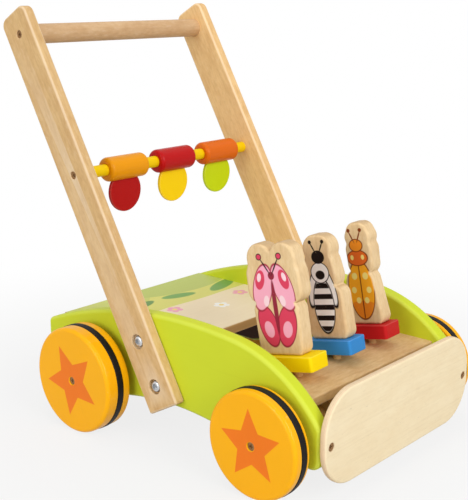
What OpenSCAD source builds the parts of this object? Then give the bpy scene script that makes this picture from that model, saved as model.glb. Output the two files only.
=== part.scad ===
// Push walker for a toddler. Two arched side panels run on four wheels and carry a leaning handle
// frame with three turning beads. Three figures stand on leaning spindles over the front axle, whose
// rollers turn them as the walker is pushed. X runs along the axles, -Y is the front, +Z is up,
// and the origin lies on the floor under the middle of the walker.

/* [Wheels] */
// Diameter of a front wheel
front_wheel_d = 101; // [95:1:103]
// Diameter of a rear wheel
rear_wheel_d = 109; // [103:1:111]
// Thickness of a front wheel
front_wheel_t = 20; // [19.5:0.5:24]
// Thickness of a rear wheel
rear_wheel_t = 30; // [26:0.5:32]
// Radius on the outer edge of a wheel
wheel_edge = 4; // [2:0.5:4]
// Radius on the inner edge of a wheel
wheel_back_edge = 2.5; // [1:0.5:3]
// Width of the rubber ring in a wheel's groove
ring_w = 8; // [6:0.5:9]
// Thickness of that ring
ring_t = 4.5; // [3.5:0.5:6]
// Distance from a front wheel's outer face to the middle of its ring
front_ring_inset = 12; // [9:0.5:13]
// Distance from a rear wheel's outer face to the middle of its ring
rear_ring_inset = 17; // [12:0.5:20]
// How far a rubber ring stands out of its wheel
ring_proud = 0.5; // [0.3:0.1:1]
// Distance between the two axles
wheelbase = 228.5; // [215:0.5:245]
// Diameter of an axle
axle_d = 14; // [10:0.5:16]
// Wood left between an axle's end and the outer face of its wheel
axle_cap = 8; // [6:0.5:10]
// Diameter of the spacer between a wheel and its panel
spacer_d = 26; // [22:1:32]
// Thickness of that spacer
spacer_t = 7.5; // [6:0.5:9]

/* [Side panels] */
// Width over the outer faces of the two panels
body_w = 241; // [220:1:260]
// Thickness of a panel
panel_t = 16; // [14:0.5:20]
// Distance from the front axle to the front end of a panel
panel_front = 54; // [50:1:58]
// Distance from the rear axle to the rear end of a panel
panel_rear = 81.5; // [74:0.5:90]
// Height of the lower edge over the floor
panel_bottom = 32; // [28:1:36]
// Height of the top of the arch over the floor
panel_top = 135; // [130:1:142]
// Distance from the front axle to the top of the arch
crown_y = 108; // [98:1:118]
// Radius of the long arch
crown_r = 530; // [480:10:600]
// Distance from the front axle to where the arch turns into the nose
nose_y = 48; // [38:1:58]
// Radius of the nose
nose_r = 145; // [135:1:155]
// Radius of the lower corners
panel_corner = 11; // [6:0.5:14]
// Radius of the upper corners
panel_tip = 6; // [5:0.5:8]
// Rounding along the edges of a panel
panel_ease = 4; // [2:0.5:5]
// Distance from the front axle to the middle of the hollow under a panel
hollow_y = 118; // [108:1:128]
// Length of that hollow
hollow_w = 190; // [160:1:200]
// Height of that hollow
hollow_h = 13.5; // [8:0.5:16]

/* [Handle frame] */
// Length of a post
post_len = 424; // [400:1:450]
// Width of a post
post_w = 42; // [36:1:48]
// Thickness of a post
post_t = 12; // [10:0.5:16]
// Lean of the posts towards the rear, in degrees
post_lean = 29.4; // [24:0.2:32]
// Distance from the front axle to the middle of a post's lower end
post_y = 124.4; // [118:0.2:133]
// Height of the middle of a post's lower end
post_z = 45; // [40:0.5:50]
// Radius of the upper corners of a post
post_corner = 9; // [5:0.5:14]
// Rounding along the edges of a post
post_ease = 2.5; // [1:0.5:4]
// Distance along a post to its lower bolt
bolt_low = 23.5; // [20:0.5:26]
// Distance between the two bolts of a post
bolt_pitch = 46.5; // [40:0.5:50]
// Distance from the top of a post down to the bead rod
rod_below = 178; // [160:1:195]
// Distance from the top of a post down to the handle
handle_below = 24; // [20:1:40]
// Diameter of the handle
handle_d = 20; // [18:0.5:24]
// Diameter of the bead rod
rod_d = 12; // [10:0.5:14]
// Depth of the sockets that take the handle and the rod
bar_seat = 4; // [2:0.5:6]

/* [Beads] */
// Diameter of a bead
bead_d = 25; // [22:0.5:30]
// Length of a bead
bead_len = 52; // [44:1:56]
// Rounding at the ends of a bead
bead_ease = 4; // [2:0.5:5]
// Distance between the middles of two beads
bead_pitch = 70.5; // [66:0.5:74]
// How far the middle bead stands towards the left
bead_shift = 6; // [0:0.5:10]
// Diameter of the flag under a bead
flag_d = 43; // [38:0.5:46]
// Thickness of a flag
flag_t = 4; // [3:0.5:6]
// Distance from the rod to the middle of a flag
flag_drop = 25; // [24:0.5:29]

/* [Decks and boards] */
// Thickness of the two decks
deck_t = 10; // [9:0.5:12]
// Height of the upper deck's top
upper_deck_z = 99.5; // [98:0.5:101]
// Distance from the front axle to the upper deck's front edge
upper_deck_front = 136; // [123:1:140]
// Distance from the front axle to the upper deck's rear edge
upper_deck_rear = 302; // [294:1:304]
// Height of the lower deck's top
lower_deck_z = 88; // [87:0.5:90]
// Distance from the front axle forward to the lower deck's front edge
lower_deck_front = 28; // [24:1:38]
// Distance from the front axle to the lower deck's rear edge
lower_deck_rear = 70; // [58:1:82]
// Rounding along the edges of the decks
deck_ease = 1.5; // [0.5:0.5:2]
// Thickness of the front board
board_t = 7; // [6:0.5:10]
// How far the front board reaches past a panel's outer face
board_over = 1; // [0:0.5:2]
// Height of the front board
board_h = 91; // [80:1:96]
// Height of the front board's lower edge over the floor
board_z = 13.5; // [10:0.5:18]
// Corner radius of the front board
board_corner = 40; // [30:1:45]
// Rounding along the edges of the front board
board_ease = 2.5; // [1:0.5:3]
// Height of the front board's screws over the floor
board_screw_z = 57; // [52:1:64]
// Thickness of the rear board
back_t = 12; // [10:0.5:14]
// Height of the rear board
back_h = 46; // [36:1:50]
// Diameter of the dowels that carry the decks and the rear board
dowel_d = 6; // [5:0.5:6.5]
// Length of those dowels
dowel_len = 24; // [18:1:28]

/* [Figures] */
// Distance between two spindles
figure_pitch = 61; // [60:0.5:64]
// Distance from the front axle back to the spindles where they leave the lower deck
figure_y = 15.5; // [14:0.5:17]
// Lean of the spindles towards the rear, in degrees
figure_lean = 11.5; // [8:0.5:13]
// Turn of the figures from facing the front, in degrees
figure_turn = -87; // [-90:1:90]
// Height of the tallest figure over its base
figure_h = 106; // [95:1:108]
// Thickness of a figure
figure_t = 18; // [16:0.5:20]
// Rounding along the edges of a figure
figure_ease = 3; // [1.5:0.5:4]
// Length of a base
base_len = 53; // [48:0.5:54]
// Depth of a base
base_depth = 28; // [24:0.5:30]
// Radius of a base's corners
base_corner = 3; // [2:0.5:6]
// Thickness of a base
base_t = 14.5; // [12:0.5:16]
// Gap between the lowest place of a base and the lower deck
base_gap = 0.7; // [0.5:0.1:1.5]
// Diameter of a spindle
spindle_d = 8; // [6:0.5:10]
// How far a spindle reaches into its figure
spindle_reach = 16; // [12:0.5:18]
// Diameter of the friction disc under the lower deck
disc_d = 48; // [46:0.5:52]
// Thickness of a friction disc
disc_t = 6; // [5:0.5:7]
// Gap between the highest place of a friction disc and the lower deck
disc_gap = 1.2; // [0.6:0.2:1.8]
// Width of a drive roller on the front axle
roller_w = 8; // [6:0.5:10]

/* [Fasteners] */
// Thread diameter of a bolt
bolt_d = 6; // [5:0.5:6]
// Diameter of a bolt's head
bolt_head_d = 12.5; // [11:0.5:13]
// Height of a bolt's head
bolt_head_h = 3.4; // [3:0.2:4]
// Diameter of the recess round a bolt's head
bolt_recess_d = 15; // [14:0.2:17]
// Depth of that recess
bolt_recess = 4.2; // [4:0.2:5]
// Diameter of a tee nut's barrel
nut_barrel_d = 8; // [7.5:0.5:9]
// Length of a tee nut's barrel
nut_barrel = 9; // [7:0.5:11]
// Diameter of a tee nut's flange
nut_flange_d = 16; // [14:0.5:18]
// Thickness of a tee nut's flange
nut_flange = 1.4; // [1:0.2:2]
// Diameter of a wood screw's shank
screw_d = 4; // [3:0.5:4.5]
// Diameter of a wood screw's head
screw_head_d = 8; // [7:0.5:9]
// Length of a wood screw
screw_len = 32; // [28:1:36]
// How deep a wood screw's head is sunk
screw_sink = 1.2; // [0.6:0.2:2]

/* [Fits] */
// Clearance round a part that turns
run_fit = 0.08; // [0.04:0.01:0.1]
// Clearance round a part that is glued or screwed in
seat_fit = 0.05; // [0.02:0.01:0.1]
// Play between a spacer and its neighbours
end_play = 0.25; // [0.2:0.05:0.5]
// Gap between a drive roller and its friction disc
drive_gap = 0.3; // [0.2:0.05:0.5]

/* [Hidden] */
$fn = 72;

RIGHT = -1;
MIDDLE = 0;
LEFT = 1;
FRONT = 0;
REAR = 1;

// Round edges are drawn as this many flats, corners as twice as many
ease_steps = 3;
corner_steps = 2 * ease_steps;
arch_steps = 24;
cut = 1;

// The walker's reach to the front and the rear of the front axle puts the origin in its middle
front_reach = panel_front + board_t;
rear_reach = post_y + (post_len - post_corner) * sin(post_lean)
    + (post_w / 2 - post_corner) * cos(post_lean) + post_corner;
front_axle_y = (front_reach - rear_reach) / 2;
rear_axle_y = front_axle_y + wheelbase;

// The front and the rear pair of wheels
wheel_d = [front_wheel_d, rear_wheel_d];
wheel_t = [front_wheel_t, rear_wheel_t];
ring_inset = [front_ring_inset, rear_ring_inset];
ring_r = [for (d = wheel_d) d / 2 + ring_proud];
axle_y = [front_axle_y, rear_axle_y];
axle_z = ring_r;

panel_out_x = body_w / 2;
panel_in_x = panel_out_x - panel_t;
panel_mid_x = panel_out_x - panel_t / 2;
wheel_in_x = panel_out_x + spacer_t + 2 * end_play;
wheel_out_x = [for (t = wheel_t) wheel_in_x + t];
axle_len = [for (x = wheel_out_x) 2 * (x - axle_cap)];
post_mid_x = panel_out_x + post_t / 2;
bar_len = 2 * (panel_out_x + bar_seat);
inner_w = 2 * panel_in_x;
board_w = body_w + 2 * board_over;
handle_at = post_len - handle_below;
rod_at = post_len - rod_below;
rod_y = front_axle_y + post_y + rod_at * sin(post_lean);
rod_z = post_z + rod_at * cos(post_lean);

crown = [crown_y, panel_top - crown_r];
nose_turn = 90 + asin((crown_y - nose_y) / crown_r);
nose = crown + (crown_r - nose_r) * [cos(nose_turn), sin(nose_turn)];
rear_tip_y = wheelbase + panel_rear - panel_tip;
rear_tip = [rear_tip_y, crown.y + sqrt((crown_r - panel_tip) ^ 2 - (rear_tip_y - crown.x) ^ 2)];
front_tip_y = panel_tip - panel_front;
front_tip = [front_tip_y, nose.y + sqrt((nose_r - panel_tip) ^ 2 - (front_tip_y - nose.x) ^ 2)];
hollow_r = (hollow_w ^ 2 / 4 + hollow_h ^ 2) / (2 * hollow_h);

upper_deck_len = upper_deck_rear - upper_deck_front;
lower_deck_len = lower_deck_rear + lower_deck_front;
upper_deck_mid = (upper_deck_rear + upper_deck_front) / 2;
lower_deck_mid = (lower_deck_rear - lower_deck_front) / 2;
back_mid_y = upper_deck_rear - back_t / 2;
back_mid_z = upper_deck_z - deck_t - back_h / 2;
dowel_edge = 34;
upper_dowel_y = [upper_deck_front + dowel_edge, upper_deck_mid, upper_deck_rear - dowel_edge];
lower_dowel_y = [dowel_edge / 2 - lower_deck_front, lower_deck_rear - dowel_edge / 2];
back_dowel_z = [back_mid_z - back_h / 4, back_mid_z + back_h / 4];

// A flag's upper edge is cut flat where it is glued into the slot under its bead
flag_top = (rod_d / 2 + bead_d / 2) / 2 - 1;
flag_slot = 2 * sqrt(flag_d ^ 2 / 4 - (flag_drop - bead_d / 2) ^ 2) + 1;

// Places along a leaning spindle, from where it leaves the lower deck
base_r = norm([base_len / 2 - base_corner, base_depth / 2 - base_corner]) + base_corner;
base_at = base_gap / cos(figure_lean) + base_r * tan(figure_lean);
figure_at = base_at + base_t;
disc_at = -(deck_t + disc_gap) / cos(figure_lean) - disc_d / 2 * tan(figure_lean) - disc_t;
spindle_len = figure_at + spindle_reach - disc_at;
roller_r = figure_y * sin(figure_lean) + (lower_deck_z - axle_z[FRONT]) * cos(figure_lean)
    + disc_at - drive_gap;
screw_cone = (screw_head_d - screw_d) / 2;
screw_tip = screw_d;

function arc(centre, r, from, to, steps) =
    [for (i = [0:steps]) let (a = from + (to - from) * i / steps) centre + r * [cos(a), sin(a)]];

// A rectangle about the origin whose lower and upper corners have their own radii
function rounded_box(w, h, low, high, inset) = concat(
    arc([w / 2 - high, h / 2 - high], high - inset, 0, 90, corner_steps),
    arc([high - w / 2, h / 2 - high], high - inset, 90, 180, corner_steps),
    arc([low - w / 2, low - h / 2], low - inset, 180, 270, corner_steps),
    arc([w / 2 - low, low - h / 2], low - inset, 270, 360, corner_steps));

// The side panel's outline from the front axle, without the hollow under it
function panel_outline(inset) = let (
        low = panel_bottom + panel_corner,
        rear_turn = atan2(rear_tip.y - crown.y, rear_tip.x - crown.x),
        front_turn = atan2(front_tip.y - nose.y, front_tip.x - nose.x)
    ) concat(
        arc([wheelbase + panel_rear - panel_corner, low], panel_corner - inset, 270, 360, corner_steps),
        arc(rear_tip, panel_tip - inset, 0, rear_turn, corner_steps),
        arc(crown, crown_r - inset, rear_turn, nose_turn, arch_steps),
        arc(nose, nose_r - inset, nose_turn, front_turn, arch_steps),
        arc(front_tip, panel_tip - inset, front_turn, 180, corner_steps),
        arc([panel_corner - panel_front, low], panel_corner - inset, 180, 270, corner_steps));

// A flat convex piece about the XY plane with rounded edges, from an outline that can be inset
module eased_plate(outline, t, ease) {
    hull()
        for (i = [0:ease_steps])
            let (a = 90 * i / ease_steps)
                linear_extrude(t - 2 * ease * (1 - sin(a)), center = true)
                    polygon(outline(ease * (1 - cos(a))));
}

// Turns a plate in the XY plane so that its outline lies in the YZ plane
module upright_along_x() {
    rotate([90, 0, 90])
        children();
}

module along_x() {
    rotate([0, 90, 0])
        children();
}

module on_side(side) {
    mirror([side < 0 ? 1 : 0, 0, 0])
        children();
}

module on_both_sides() {
    for (side = [RIGHT, LEFT])
        on_side(side)
            children();
}

// The left post's frame: X across the walker, Z along the post from its lower end
module on_post(s, x) {
    translate([x, front_axle_y + post_y, post_z])
        rotate([-post_lean, 0, 0])
            translate([0, 0, s])
                children();
}

module at_bolts(x) {
    for (s = [bolt_low, bolt_low + bolt_pitch])
        on_post(s, x)
            along_x()
                children();
}

// A hole along +Z from the place where it starts
module bore(d, depth) {
    cylinder(d = d, h = depth);
}

// Countersunk wood screw along -Z, sunk below the face of the wood at the origin
module wood_screw() {
    translate([0, 0, -screw_sink])
        screw_solid();
}

module screw_solid() {
    difference() {
        union() {
            translate([0, 0, -screw_cone])
                cylinder(d1 = screw_d, d2 = screw_head_d, h = screw_cone);
            translate([0, 0, screw_tip - screw_len])
                cylinder(d = screw_d, h = screw_len - screw_tip - screw_cone / 2);
            translate([0, 0, -screw_len])
                cylinder(d1 = screw_d / 4, d2 = screw_d, h = screw_tip);
        }
        for (a = [0, 90])
            rotate(a)
                cube([screw_head_d / 2, screw_head_d / 8, screw_cone], center = true);
    }
}

// The room that a wood screw takes in the wood
module screw_hole() {
    translate([0, 0, -screw_sink]) {
        translate([0, 0, -screw_cone])
            cylinder(d1 = screw_d + 2 * seat_fit, d2 = screw_head_d + 2 * seat_fit, h = screw_cone);
        translate([0, 0, -screw_len - seat_fit])
            cylinder(d = screw_d + 2 * seat_fit, h = screw_len);
        cylinder(d = screw_head_d + 2 * seat_fit, h = screw_sink + cut);
    }
}

// Dowels across the joints between the panels and what they carry
module deck_dowel_row(ys, z) {
    for (y = ys)
        translate([panel_in_x, front_axle_y + y, z])
            children();
}

module back_dowel_row() {
    for (z = back_dowel_z)
        translate([panel_in_x, front_axle_y + back_mid_y, z])
            children();
}

module dowel() {
    along_x()
        cylinder(d = dowel_d, h = dowel_len, center = true);
}

module dowel_hole() {
    along_x()
        cylinder(d = dowel_d + 2 * seat_fit, h = dowel_len + 2 * seat_fit, center = true);
}

module deck_holes(ys, z) {
    on_both_sides()
        deck_dowel_row(ys, z)
            dowel_hole();
}

// Front board screws start at the board's face and run back into the panels' ends
module board_screw_places() {
    on_both_sides()
        translate([panel_mid_x, front_axle_y - front_reach, board_screw_z])
            rotate([90, 0, 0])
                children();
}

module bar_screw_places(s) {
    on_both_sides()
        on_post(s, panel_out_x + post_t)
            along_x()
                children();
}

module left_panel_solid() {
    difference() {
        translate([panel_mid_x, front_axle_y, 0])
            upright_along_x()
                eased_plate(function (inset) panel_outline(inset), panel_t, panel_ease);
        translate([panel_mid_x, front_axle_y + hollow_y, panel_bottom + hollow_h - hollow_r])
            along_x()
                hollow_cut();
        for (pair = [FRONT, REAR])
            translate([panel_in_x - cut, axle_y[pair], axle_z[pair]])
                along_x()
                    bore(axle_d + 2 * run_fit, panel_t + 2 * cut);
        at_bolts(panel_in_x - cut) {
            bore(bolt_d + 2 * seat_fit, panel_t + 2 * cut);
            bore(nut_flange_d + 2 * seat_fit, nut_flange + cut);
            bore(nut_barrel_d + 2 * seat_fit, nut_flange + nut_barrel + cut);
        }
        deck_dowel_row(upper_dowel_y, upper_deck_z - deck_t / 2)
            dowel_hole();
        deck_dowel_row(lower_dowel_y, lower_deck_z - deck_t / 2)
            dowel_hole();
        back_dowel_row()
            dowel_hole();
        board_screw_places()
            screw_hole();
    }
}

// The long hollow under a panel, with its edges broken on both faces
module hollow_cut() {
    broken = panel_ease / 2;
    cylinder(r = hollow_r, h = panel_t + 2 * cut, center = true, $fn = 360);
    for (up = [0, 180])
        rotate([up, 0, 0])
            translate([0, 0, panel_t / 2 - broken])
                cylinder(r1 = hollow_r, r2 = hollow_r + broken + cut, h = broken + cut, $fn = 360);
}

module right_side_panel() {
    color("yellowgreen")
        on_side(RIGHT)
            left_panel_solid();
}

module left_side_panel() {
    color("yellowgreen")
        left_panel_solid();
}

module left_post_solid() {
    difference() {
        on_post(post_len / 2, post_mid_x)
            upright_along_x()
                eased_plate(
                    function (inset) rounded_box(post_w, post_len, post_ease, post_corner, inset),
                    post_t, post_ease);
        at_bolts(panel_out_x - cut)
            bore(bolt_d + 2 * seat_fit, post_t + 2 * cut);
        at_bolts(panel_out_x + post_t - bolt_recess)
            bore(bolt_recess_d, bolt_recess + cut);
        on_post(handle_at, panel_out_x - cut)
            along_x()
                bore(handle_d + 2 * seat_fit, bar_seat + cut);
        on_post(rod_at, panel_out_x - cut)
            along_x()
                bore(rod_d + 2 * seat_fit, bar_seat + cut);
        bar_screw_places(handle_at)
            screw_hole();
        bar_screw_places(rod_at)
            screw_hole();
    }
}

module right_post() {
    color("burlywood")
        on_side(RIGHT)
            left_post_solid();
}

module left_post() {
    color("burlywood")
        left_post_solid();
}

// A bar between the posts with its ends in their sockets and a screw in each end
module cross_bar(s, d) {
    difference() {
        on_post(s, 0)
            along_x()
                cylinder(d = d, h = bar_len, center = true);
        bar_screw_places(s)
            screw_hole();
    }
}

module handle_bar() {
    color("tan")
        cross_bar(handle_at, handle_d);
}

module bead_rod() {
    color("gold")
        cross_bar(rod_at, rod_d);
}

// A flat board across the walker whose long edges are rounded, from its section in the YZ plane
module cross_plank(depth, height) {
    upright_along_x()
        linear_extrude(inner_w, center = true) {
            square([depth - 2 * deck_ease, height], center = true);
            square([depth, height - 2 * deck_ease], center = true);
            for (u = [-1, 1], v = [-1, 1])
                translate([u * (depth / 2 - deck_ease), v * (height / 2 - deck_ease)])
                    circle(deck_ease);
        }
}

module upper_deck() {
    color("honeydew")
        difference() {
            translate([0, front_axle_y + upper_deck_mid, upper_deck_z - deck_t / 2])
                cross_plank(upper_deck_len, deck_t);
            deck_holes(upper_dowel_y, upper_deck_z - deck_t / 2);
        }
}

module lower_deck() {
    color("burlywood")
        difference() {
            translate([0, front_axle_y + lower_deck_mid, lower_deck_z - deck_t / 2])
                cross_plank(lower_deck_len, deck_t);
            deck_holes(lower_dowel_y, lower_deck_z - deck_t / 2);
            for (i = [RIGHT, MIDDLE, LEFT])
                on_spindle(i, -2 * deck_t)
                    bore(spindle_d + 2 * run_fit, 3 * deck_t);
        }
}

module front_board() {
    color("wheat")
        difference() {
            translate([0, front_axle_y - panel_front - board_t / 2, board_z + board_h / 2])
                rotate([90, 0, 0])
                    eased_plate(
                        function (inset) rounded_box(board_w, board_h, board_corner, board_corner, inset),
                        board_t, board_ease);
            board_screw_places()
                screw_hole();
        }
}

module rear_board() {
    color("burlywood")
        difference() {
            translate([0, front_axle_y + back_mid_y, back_mid_z])
                cross_plank(back_t, back_h);
            on_both_sides()
                back_dowel_row()
                    dowel_hole();
        }
}

// Socket head bolts in the posts, threaded into tee nuts that sit flush in the panels
module post_bolts() {
    head_x = panel_out_x + post_t - bolt_recess;
    color("silver")
        on_both_sides()
            at_bolts(head_x)
                difference() {
                    union() {
                        cylinder(d = bolt_head_d, h = bolt_head_h * 0.7);
                        translate([0, 0, bolt_head_h * 0.7])
                            cylinder(d1 = bolt_head_d, d2 = bolt_head_d * 0.8, h = bolt_head_h * 0.3);
                        translate([0, 0, panel_in_x - head_x])
                            cylinder(d = bolt_d, h = head_x - panel_in_x);
                    }
                    translate([0, 0, bolt_head_h * 0.4])
                        cylinder(d = bolt_d * 0.9, h = bolt_head_h, $fn = 6);
                }
}

module tee_nuts() {
    color("silver")
        on_both_sides()
            at_bolts(panel_in_x)
                difference() {
                    union() {
                        cylinder(d = nut_flange_d, h = nut_flange);
                        cylinder(d = nut_barrel_d, h = nut_flange + nut_barrel);
                    }
                    translate([0, 0, -cut])
                        cylinder(d = bolt_d + 2 * seat_fit, h = nut_flange + nut_barrel + 2 * cut);
                }
}

module handle_screws() {
    color("dimgray")
        bar_screw_places(handle_at)
            wood_screw();
}

module rod_screws() {
    color("dimgray")
        bar_screw_places(rod_at)
            wood_screw();
}

module front_board_screws() {
    color("dimgray")
        board_screw_places()
            wood_screw();
}

module upper_deck_dowels() {
    color("burlywood")
        on_both_sides()
            deck_dowel_row(upper_dowel_y, upper_deck_z - deck_t / 2)
                dowel();
}

module lower_deck_dowels() {
    color("burlywood")
        on_both_sides()
            deck_dowel_row(lower_dowel_y, lower_deck_z - deck_t / 2)
                dowel();
}

module rear_board_dowels() {
    color("burlywood")
        on_both_sides()
            back_dowel_row()
                dowel();
}

// Wheel profile: radius along X and distance from the inner face along Y
module wheel_profile(pair) {
    r = wheel_d[pair] / 2;
    t = wheel_t[pair];
    difference() {
        union() {
            translate([0, wheel_back_edge])
                square([r, t - wheel_back_edge - wheel_edge]);
            square([r - wheel_back_edge, t - wheel_edge]);
            square([r - wheel_edge, t]);
            translate([r - wheel_edge, t - wheel_edge])
                circle(wheel_edge);
            translate([r - wheel_back_edge, wheel_back_edge])
                circle(wheel_back_edge);
        }
        translate([ring_r[pair] - ring_t - seat_fit, t - ring_inset[pair] - ring_w / 2 - seat_fit])
            square([ring_t + cut, ring_w + 2 * seat_fit]);
    }
}

// Ring profile: a flat band with rounded outer edges
module ring_profile(pair) {
    ease = ring_t / 3;
    translate([ring_r[pair] - ring_t, -ring_w / 2])
        square([ring_t - ease, ring_w]);
    translate([ring_r[pair] - ease, ease - ring_w / 2])
        square([ease, ring_w - 2 * ease]);
    for (end = [-1, 1])
        translate([ring_r[pair] - ease, end * (ring_w / 2 - ease)])
            circle(ease);
}

module at_axle(pair) {
    translate([0, axle_y[pair], axle_z[pair]])
        children();
}

module wheel(pair, side) {
    color("orange")
        at_axle(pair)
            on_side(side)
                translate([wheel_in_x, 0, 0])
                    along_x()
                        difference() {
                            rotate_extrude()
                                wheel_profile(pair);
                            translate([0, 0, -cut])
                                bore(axle_d + 2 * seat_fit, wheel_t[pair] - axle_cap + cut);
                            translate([0, 0, wheel_t[pair]])
                                screw_hole();
                        }
}

module ring(pair, side) {
    color("black")
        at_axle(pair)
            on_side(side)
                translate([wheel_out_x[pair] - ring_inset[pair], 0, 0])
                    along_x()
                        rotate_extrude()
                            ring_profile(pair);
}

module axle(pair) {
    color("tan")
        at_axle(pair)
            difference() {
                along_x()
                    cylinder(d = axle_d, h = axle_len[pair], center = true);
                on_both_sides()
                    translate([wheel_out_x[pair], 0, 0])
                        along_x()
                            screw_hole();
            }
}

module wheel_screws(pair) {
    color("dimgray")
        at_axle(pair)
            on_both_sides()
                translate([wheel_out_x[pair], 0, 0])
                    along_x()
                        wood_screw();
}

module spacers(pair) {
    color("tan")
        at_axle(pair)
            on_both_sides()
                translate([panel_out_x + end_play, 0, 0])
                    along_x()
                        difference() {
                            cylinder(d = spacer_d, h = spacer_t);
                            translate([0, 0, -cut])
                                bore(axle_d + 2 * seat_fit, spacer_t + 2 * cut);
                        }
}

module front_axle() {
    axle(FRONT);
}

module front_right_wheel() {
    wheel(FRONT, RIGHT);
}

module front_left_wheel() {
    wheel(FRONT, LEFT);
}

module front_right_ring() {
    ring(FRONT, RIGHT);
}

module front_left_ring() {
    ring(FRONT, LEFT);
}

module front_wheel_screws() {
    wheel_screws(FRONT);
}

module front_spacers() {
    spacers(FRONT);
}

module rear_axle() {
    axle(REAR);
}

module rear_right_wheel() {
    wheel(REAR, RIGHT);
}

module rear_left_wheel() {
    wheel(REAR, LEFT);
}

module rear_right_ring() {
    ring(REAR, RIGHT);
}

module rear_left_ring() {
    ring(REAR, LEFT);
}

module rear_wheel_screws() {
    wheel_screws(REAR);
}

module rear_spacers() {
    spacers(REAR);
}

// Each roller stands beside its spindle by its own radius, so a figure turns as fast as the axle
module drive_rollers() {
    color("burlywood")
        for (i = [RIGHT, MIDDLE, LEFT])
            translate([i * figure_pitch + roller_r - roller_w / 2, front_axle_y, axle_z[FRONT]])
                along_x()
                    difference() {
                        cylinder(r = roller_r, h = roller_w);
                        translate([0, 0, -cut])
                            bore(axle_d + 2 * seat_fit, roller_w + 2 * cut);
                    }
}

module at_bead(i) {
    translate([bead_shift + i * bead_pitch, rod_y, rod_z])
        children();
}

module bead_profile() {
    translate([0, -bead_len / 2 + bead_ease])
        square([bead_d / 2, bead_len - 2 * bead_ease]);
    translate([0, -bead_len / 2])
        square([bead_d / 2 - bead_ease, bead_len]);
    for (end = [-1, 1])
        translate([bead_d / 2 - bead_ease, end * (bead_len / 2 - bead_ease)])
            circle(bead_ease);
}

module bead(i, tint) {
    color(tint)
        at_bead(i)
            difference() {
                along_x()
                    rotate_extrude()
                        bead_profile();
                along_x()
                    translate([0, 0, -bead_len / 2 - cut])
                        bore(rod_d + 2 * run_fit, bead_len + 2 * cut);
                translate([0, 0, -flag_top - bead_d / 2])
                    cube([flag_slot, flag_t + 2 * seat_fit, bead_d], center = true);
            }
}

module flag_profile() {
    ease = flag_t / 4;
    translate([0, -flag_t / 2])
        square([flag_d / 2 - ease, flag_t]);
    translate([0, ease - flag_t / 2])
        square([flag_d / 2, flag_t - 2 * ease]);
    for (end = [-1, 1])
        translate([flag_d / 2 - ease, end * (flag_t / 2 - ease)])
            circle(ease);
}

module flag(i, tint) {
    color(tint)
        at_bead(i)
            difference() {
                translate([0, 0, -flag_drop])
                    rotate([90, 0, 0])
                        rotate_extrude()
                            flag_profile();
                translate([-flag_d, -flag_d, -flag_top])
                    cube(2 * flag_d);
            }
}

module right_bead() {
    bead(RIGHT, "orange");
}

module middle_bead() {
    bead(MIDDLE, "crimson");
}

module left_bead() {
    bead(LEFT, "darkorange");
}

module right_flag() {
    flag(RIGHT, "firebrick");
}

module middle_flag() {
    flag(MIDDLE, "gold");
}

module left_flag() {
    flag(LEFT, "yellowgreen");
}

// A leaning spindle's frame: Z along the spindle from where it leaves the lower deck
module on_spindle(i, s) {
    translate([i * figure_pitch, front_axle_y + figure_y, lower_deck_z])
        rotate([-figure_lean, 0, 0])
            translate([0, 0, s])
                children();
}

// One lobe of a figure with rounded edges: the hull of a row of circles [across, up, radius],
// each number a part of the figure's height
module lobe(circles) {
    rotate([90, 0, 0])
        hull()
            for (c = circles, i = [0:ease_steps])
                let (a = 90 * i / ease_steps)
                    translate(figure_h * [c[0], c[1], 0])
                        cylinder(
                            r = figure_h * c[2] - figure_ease * (1 - cos(a)),
                            h = figure_t - 2 * figure_ease * (1 - sin(a)), center = true, $fn = 32);
}

// A figure cut from a thick board: its lobes, cut flat at the foot and bored for the spindle
module figure(i, lobes) {
    color("burlywood")
        on_spindle(i, figure_at)
            difference() {
                rotate(figure_turn)
                    intersection() {
                        union()
                            for (circles = lobes)
                                lobe(circles);
                        translate([-figure_pitch, -figure_t, 0])
                            cube([2 * figure_pitch, 2 * figure_t, 3 * figure_pitch]);
                    }
                translate([0, 0, -cut])
                    bore(spindle_d + 2 * seat_fit, spindle_reach + cut);
            }
}

// A broad figure that reaches back past its base, with two rounded bumps on top
module right_figure() {
    figure(RIGHT, [
        [[-0.2425, 0.075, 0.085], [0.0675, 0.075, 0.085], [-0.2425, 0.4, 0.09], [0.0675, 0.4, 0.09]],
        [[-0.255, 0.58, 0.115], [0.105, 0.58, 0.115], [-0.245, 0.72, 0.12], [0.095, 0.72, 0.12]],
        [[-0.195, 0.8, 0.14], [-0.195, 0.865, 0.14]],
        [[0.055, 0.8, 0.14], [0.055, 0.865, 0.14]],
    ]);
}

// A tapering figure with a round head
module middle_figure() {
    figure(MIDDLE, [
        [[-0.125, 0.075, 0.085], [0.125, 0.075, 0.085], [-0.105, 0.4, 0.1], [0.105, 0.4, 0.1]],
        [[-0.07, 0.58, 0.12], [0.05, 0.58, 0.12], [-0.05, 0.7, 0.12], [0.03, 0.7, 0.12]],
        [[-0.035, 0.84, 0.13], [0.015, 0.84, 0.13]],
    ]);
}

// A slim figure with a broad foot and a tall head
module left_figure() {
    figure(LEFT, [
        [[-0.12, 0.075, 0.085], [0.12, 0.075, 0.085], [-0.055, 0.42, 0.1], [0.055, 0.42, 0.1]],
        [[-0.01, 0.58, 0.1], [0.07, 0.58, 0.1], [-0.015, 0.72, 0.1], [0.075, 0.72, 0.1]],
        [[-0.005, 0.84, 0.105], [0.065, 0.84, 0.105], [0.01, 0.885, 0.1], [0.05, 0.885, 0.1]],
    ]);
}

module base(i, tint) {
    color(tint)
        difference() {
            on_spindle(i, base_at + base_t / 2)
                rotate(figure_turn)
                    eased_plate(
                        function (inset) rounded_box(base_len, base_depth, base_corner, base_corner, inset),
                        base_t, figure_ease / 3);
            on_spindle(i, base_at - cut)
                bore(spindle_d + 2 * seat_fit, base_t + 2 * cut);
        }
}

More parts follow.
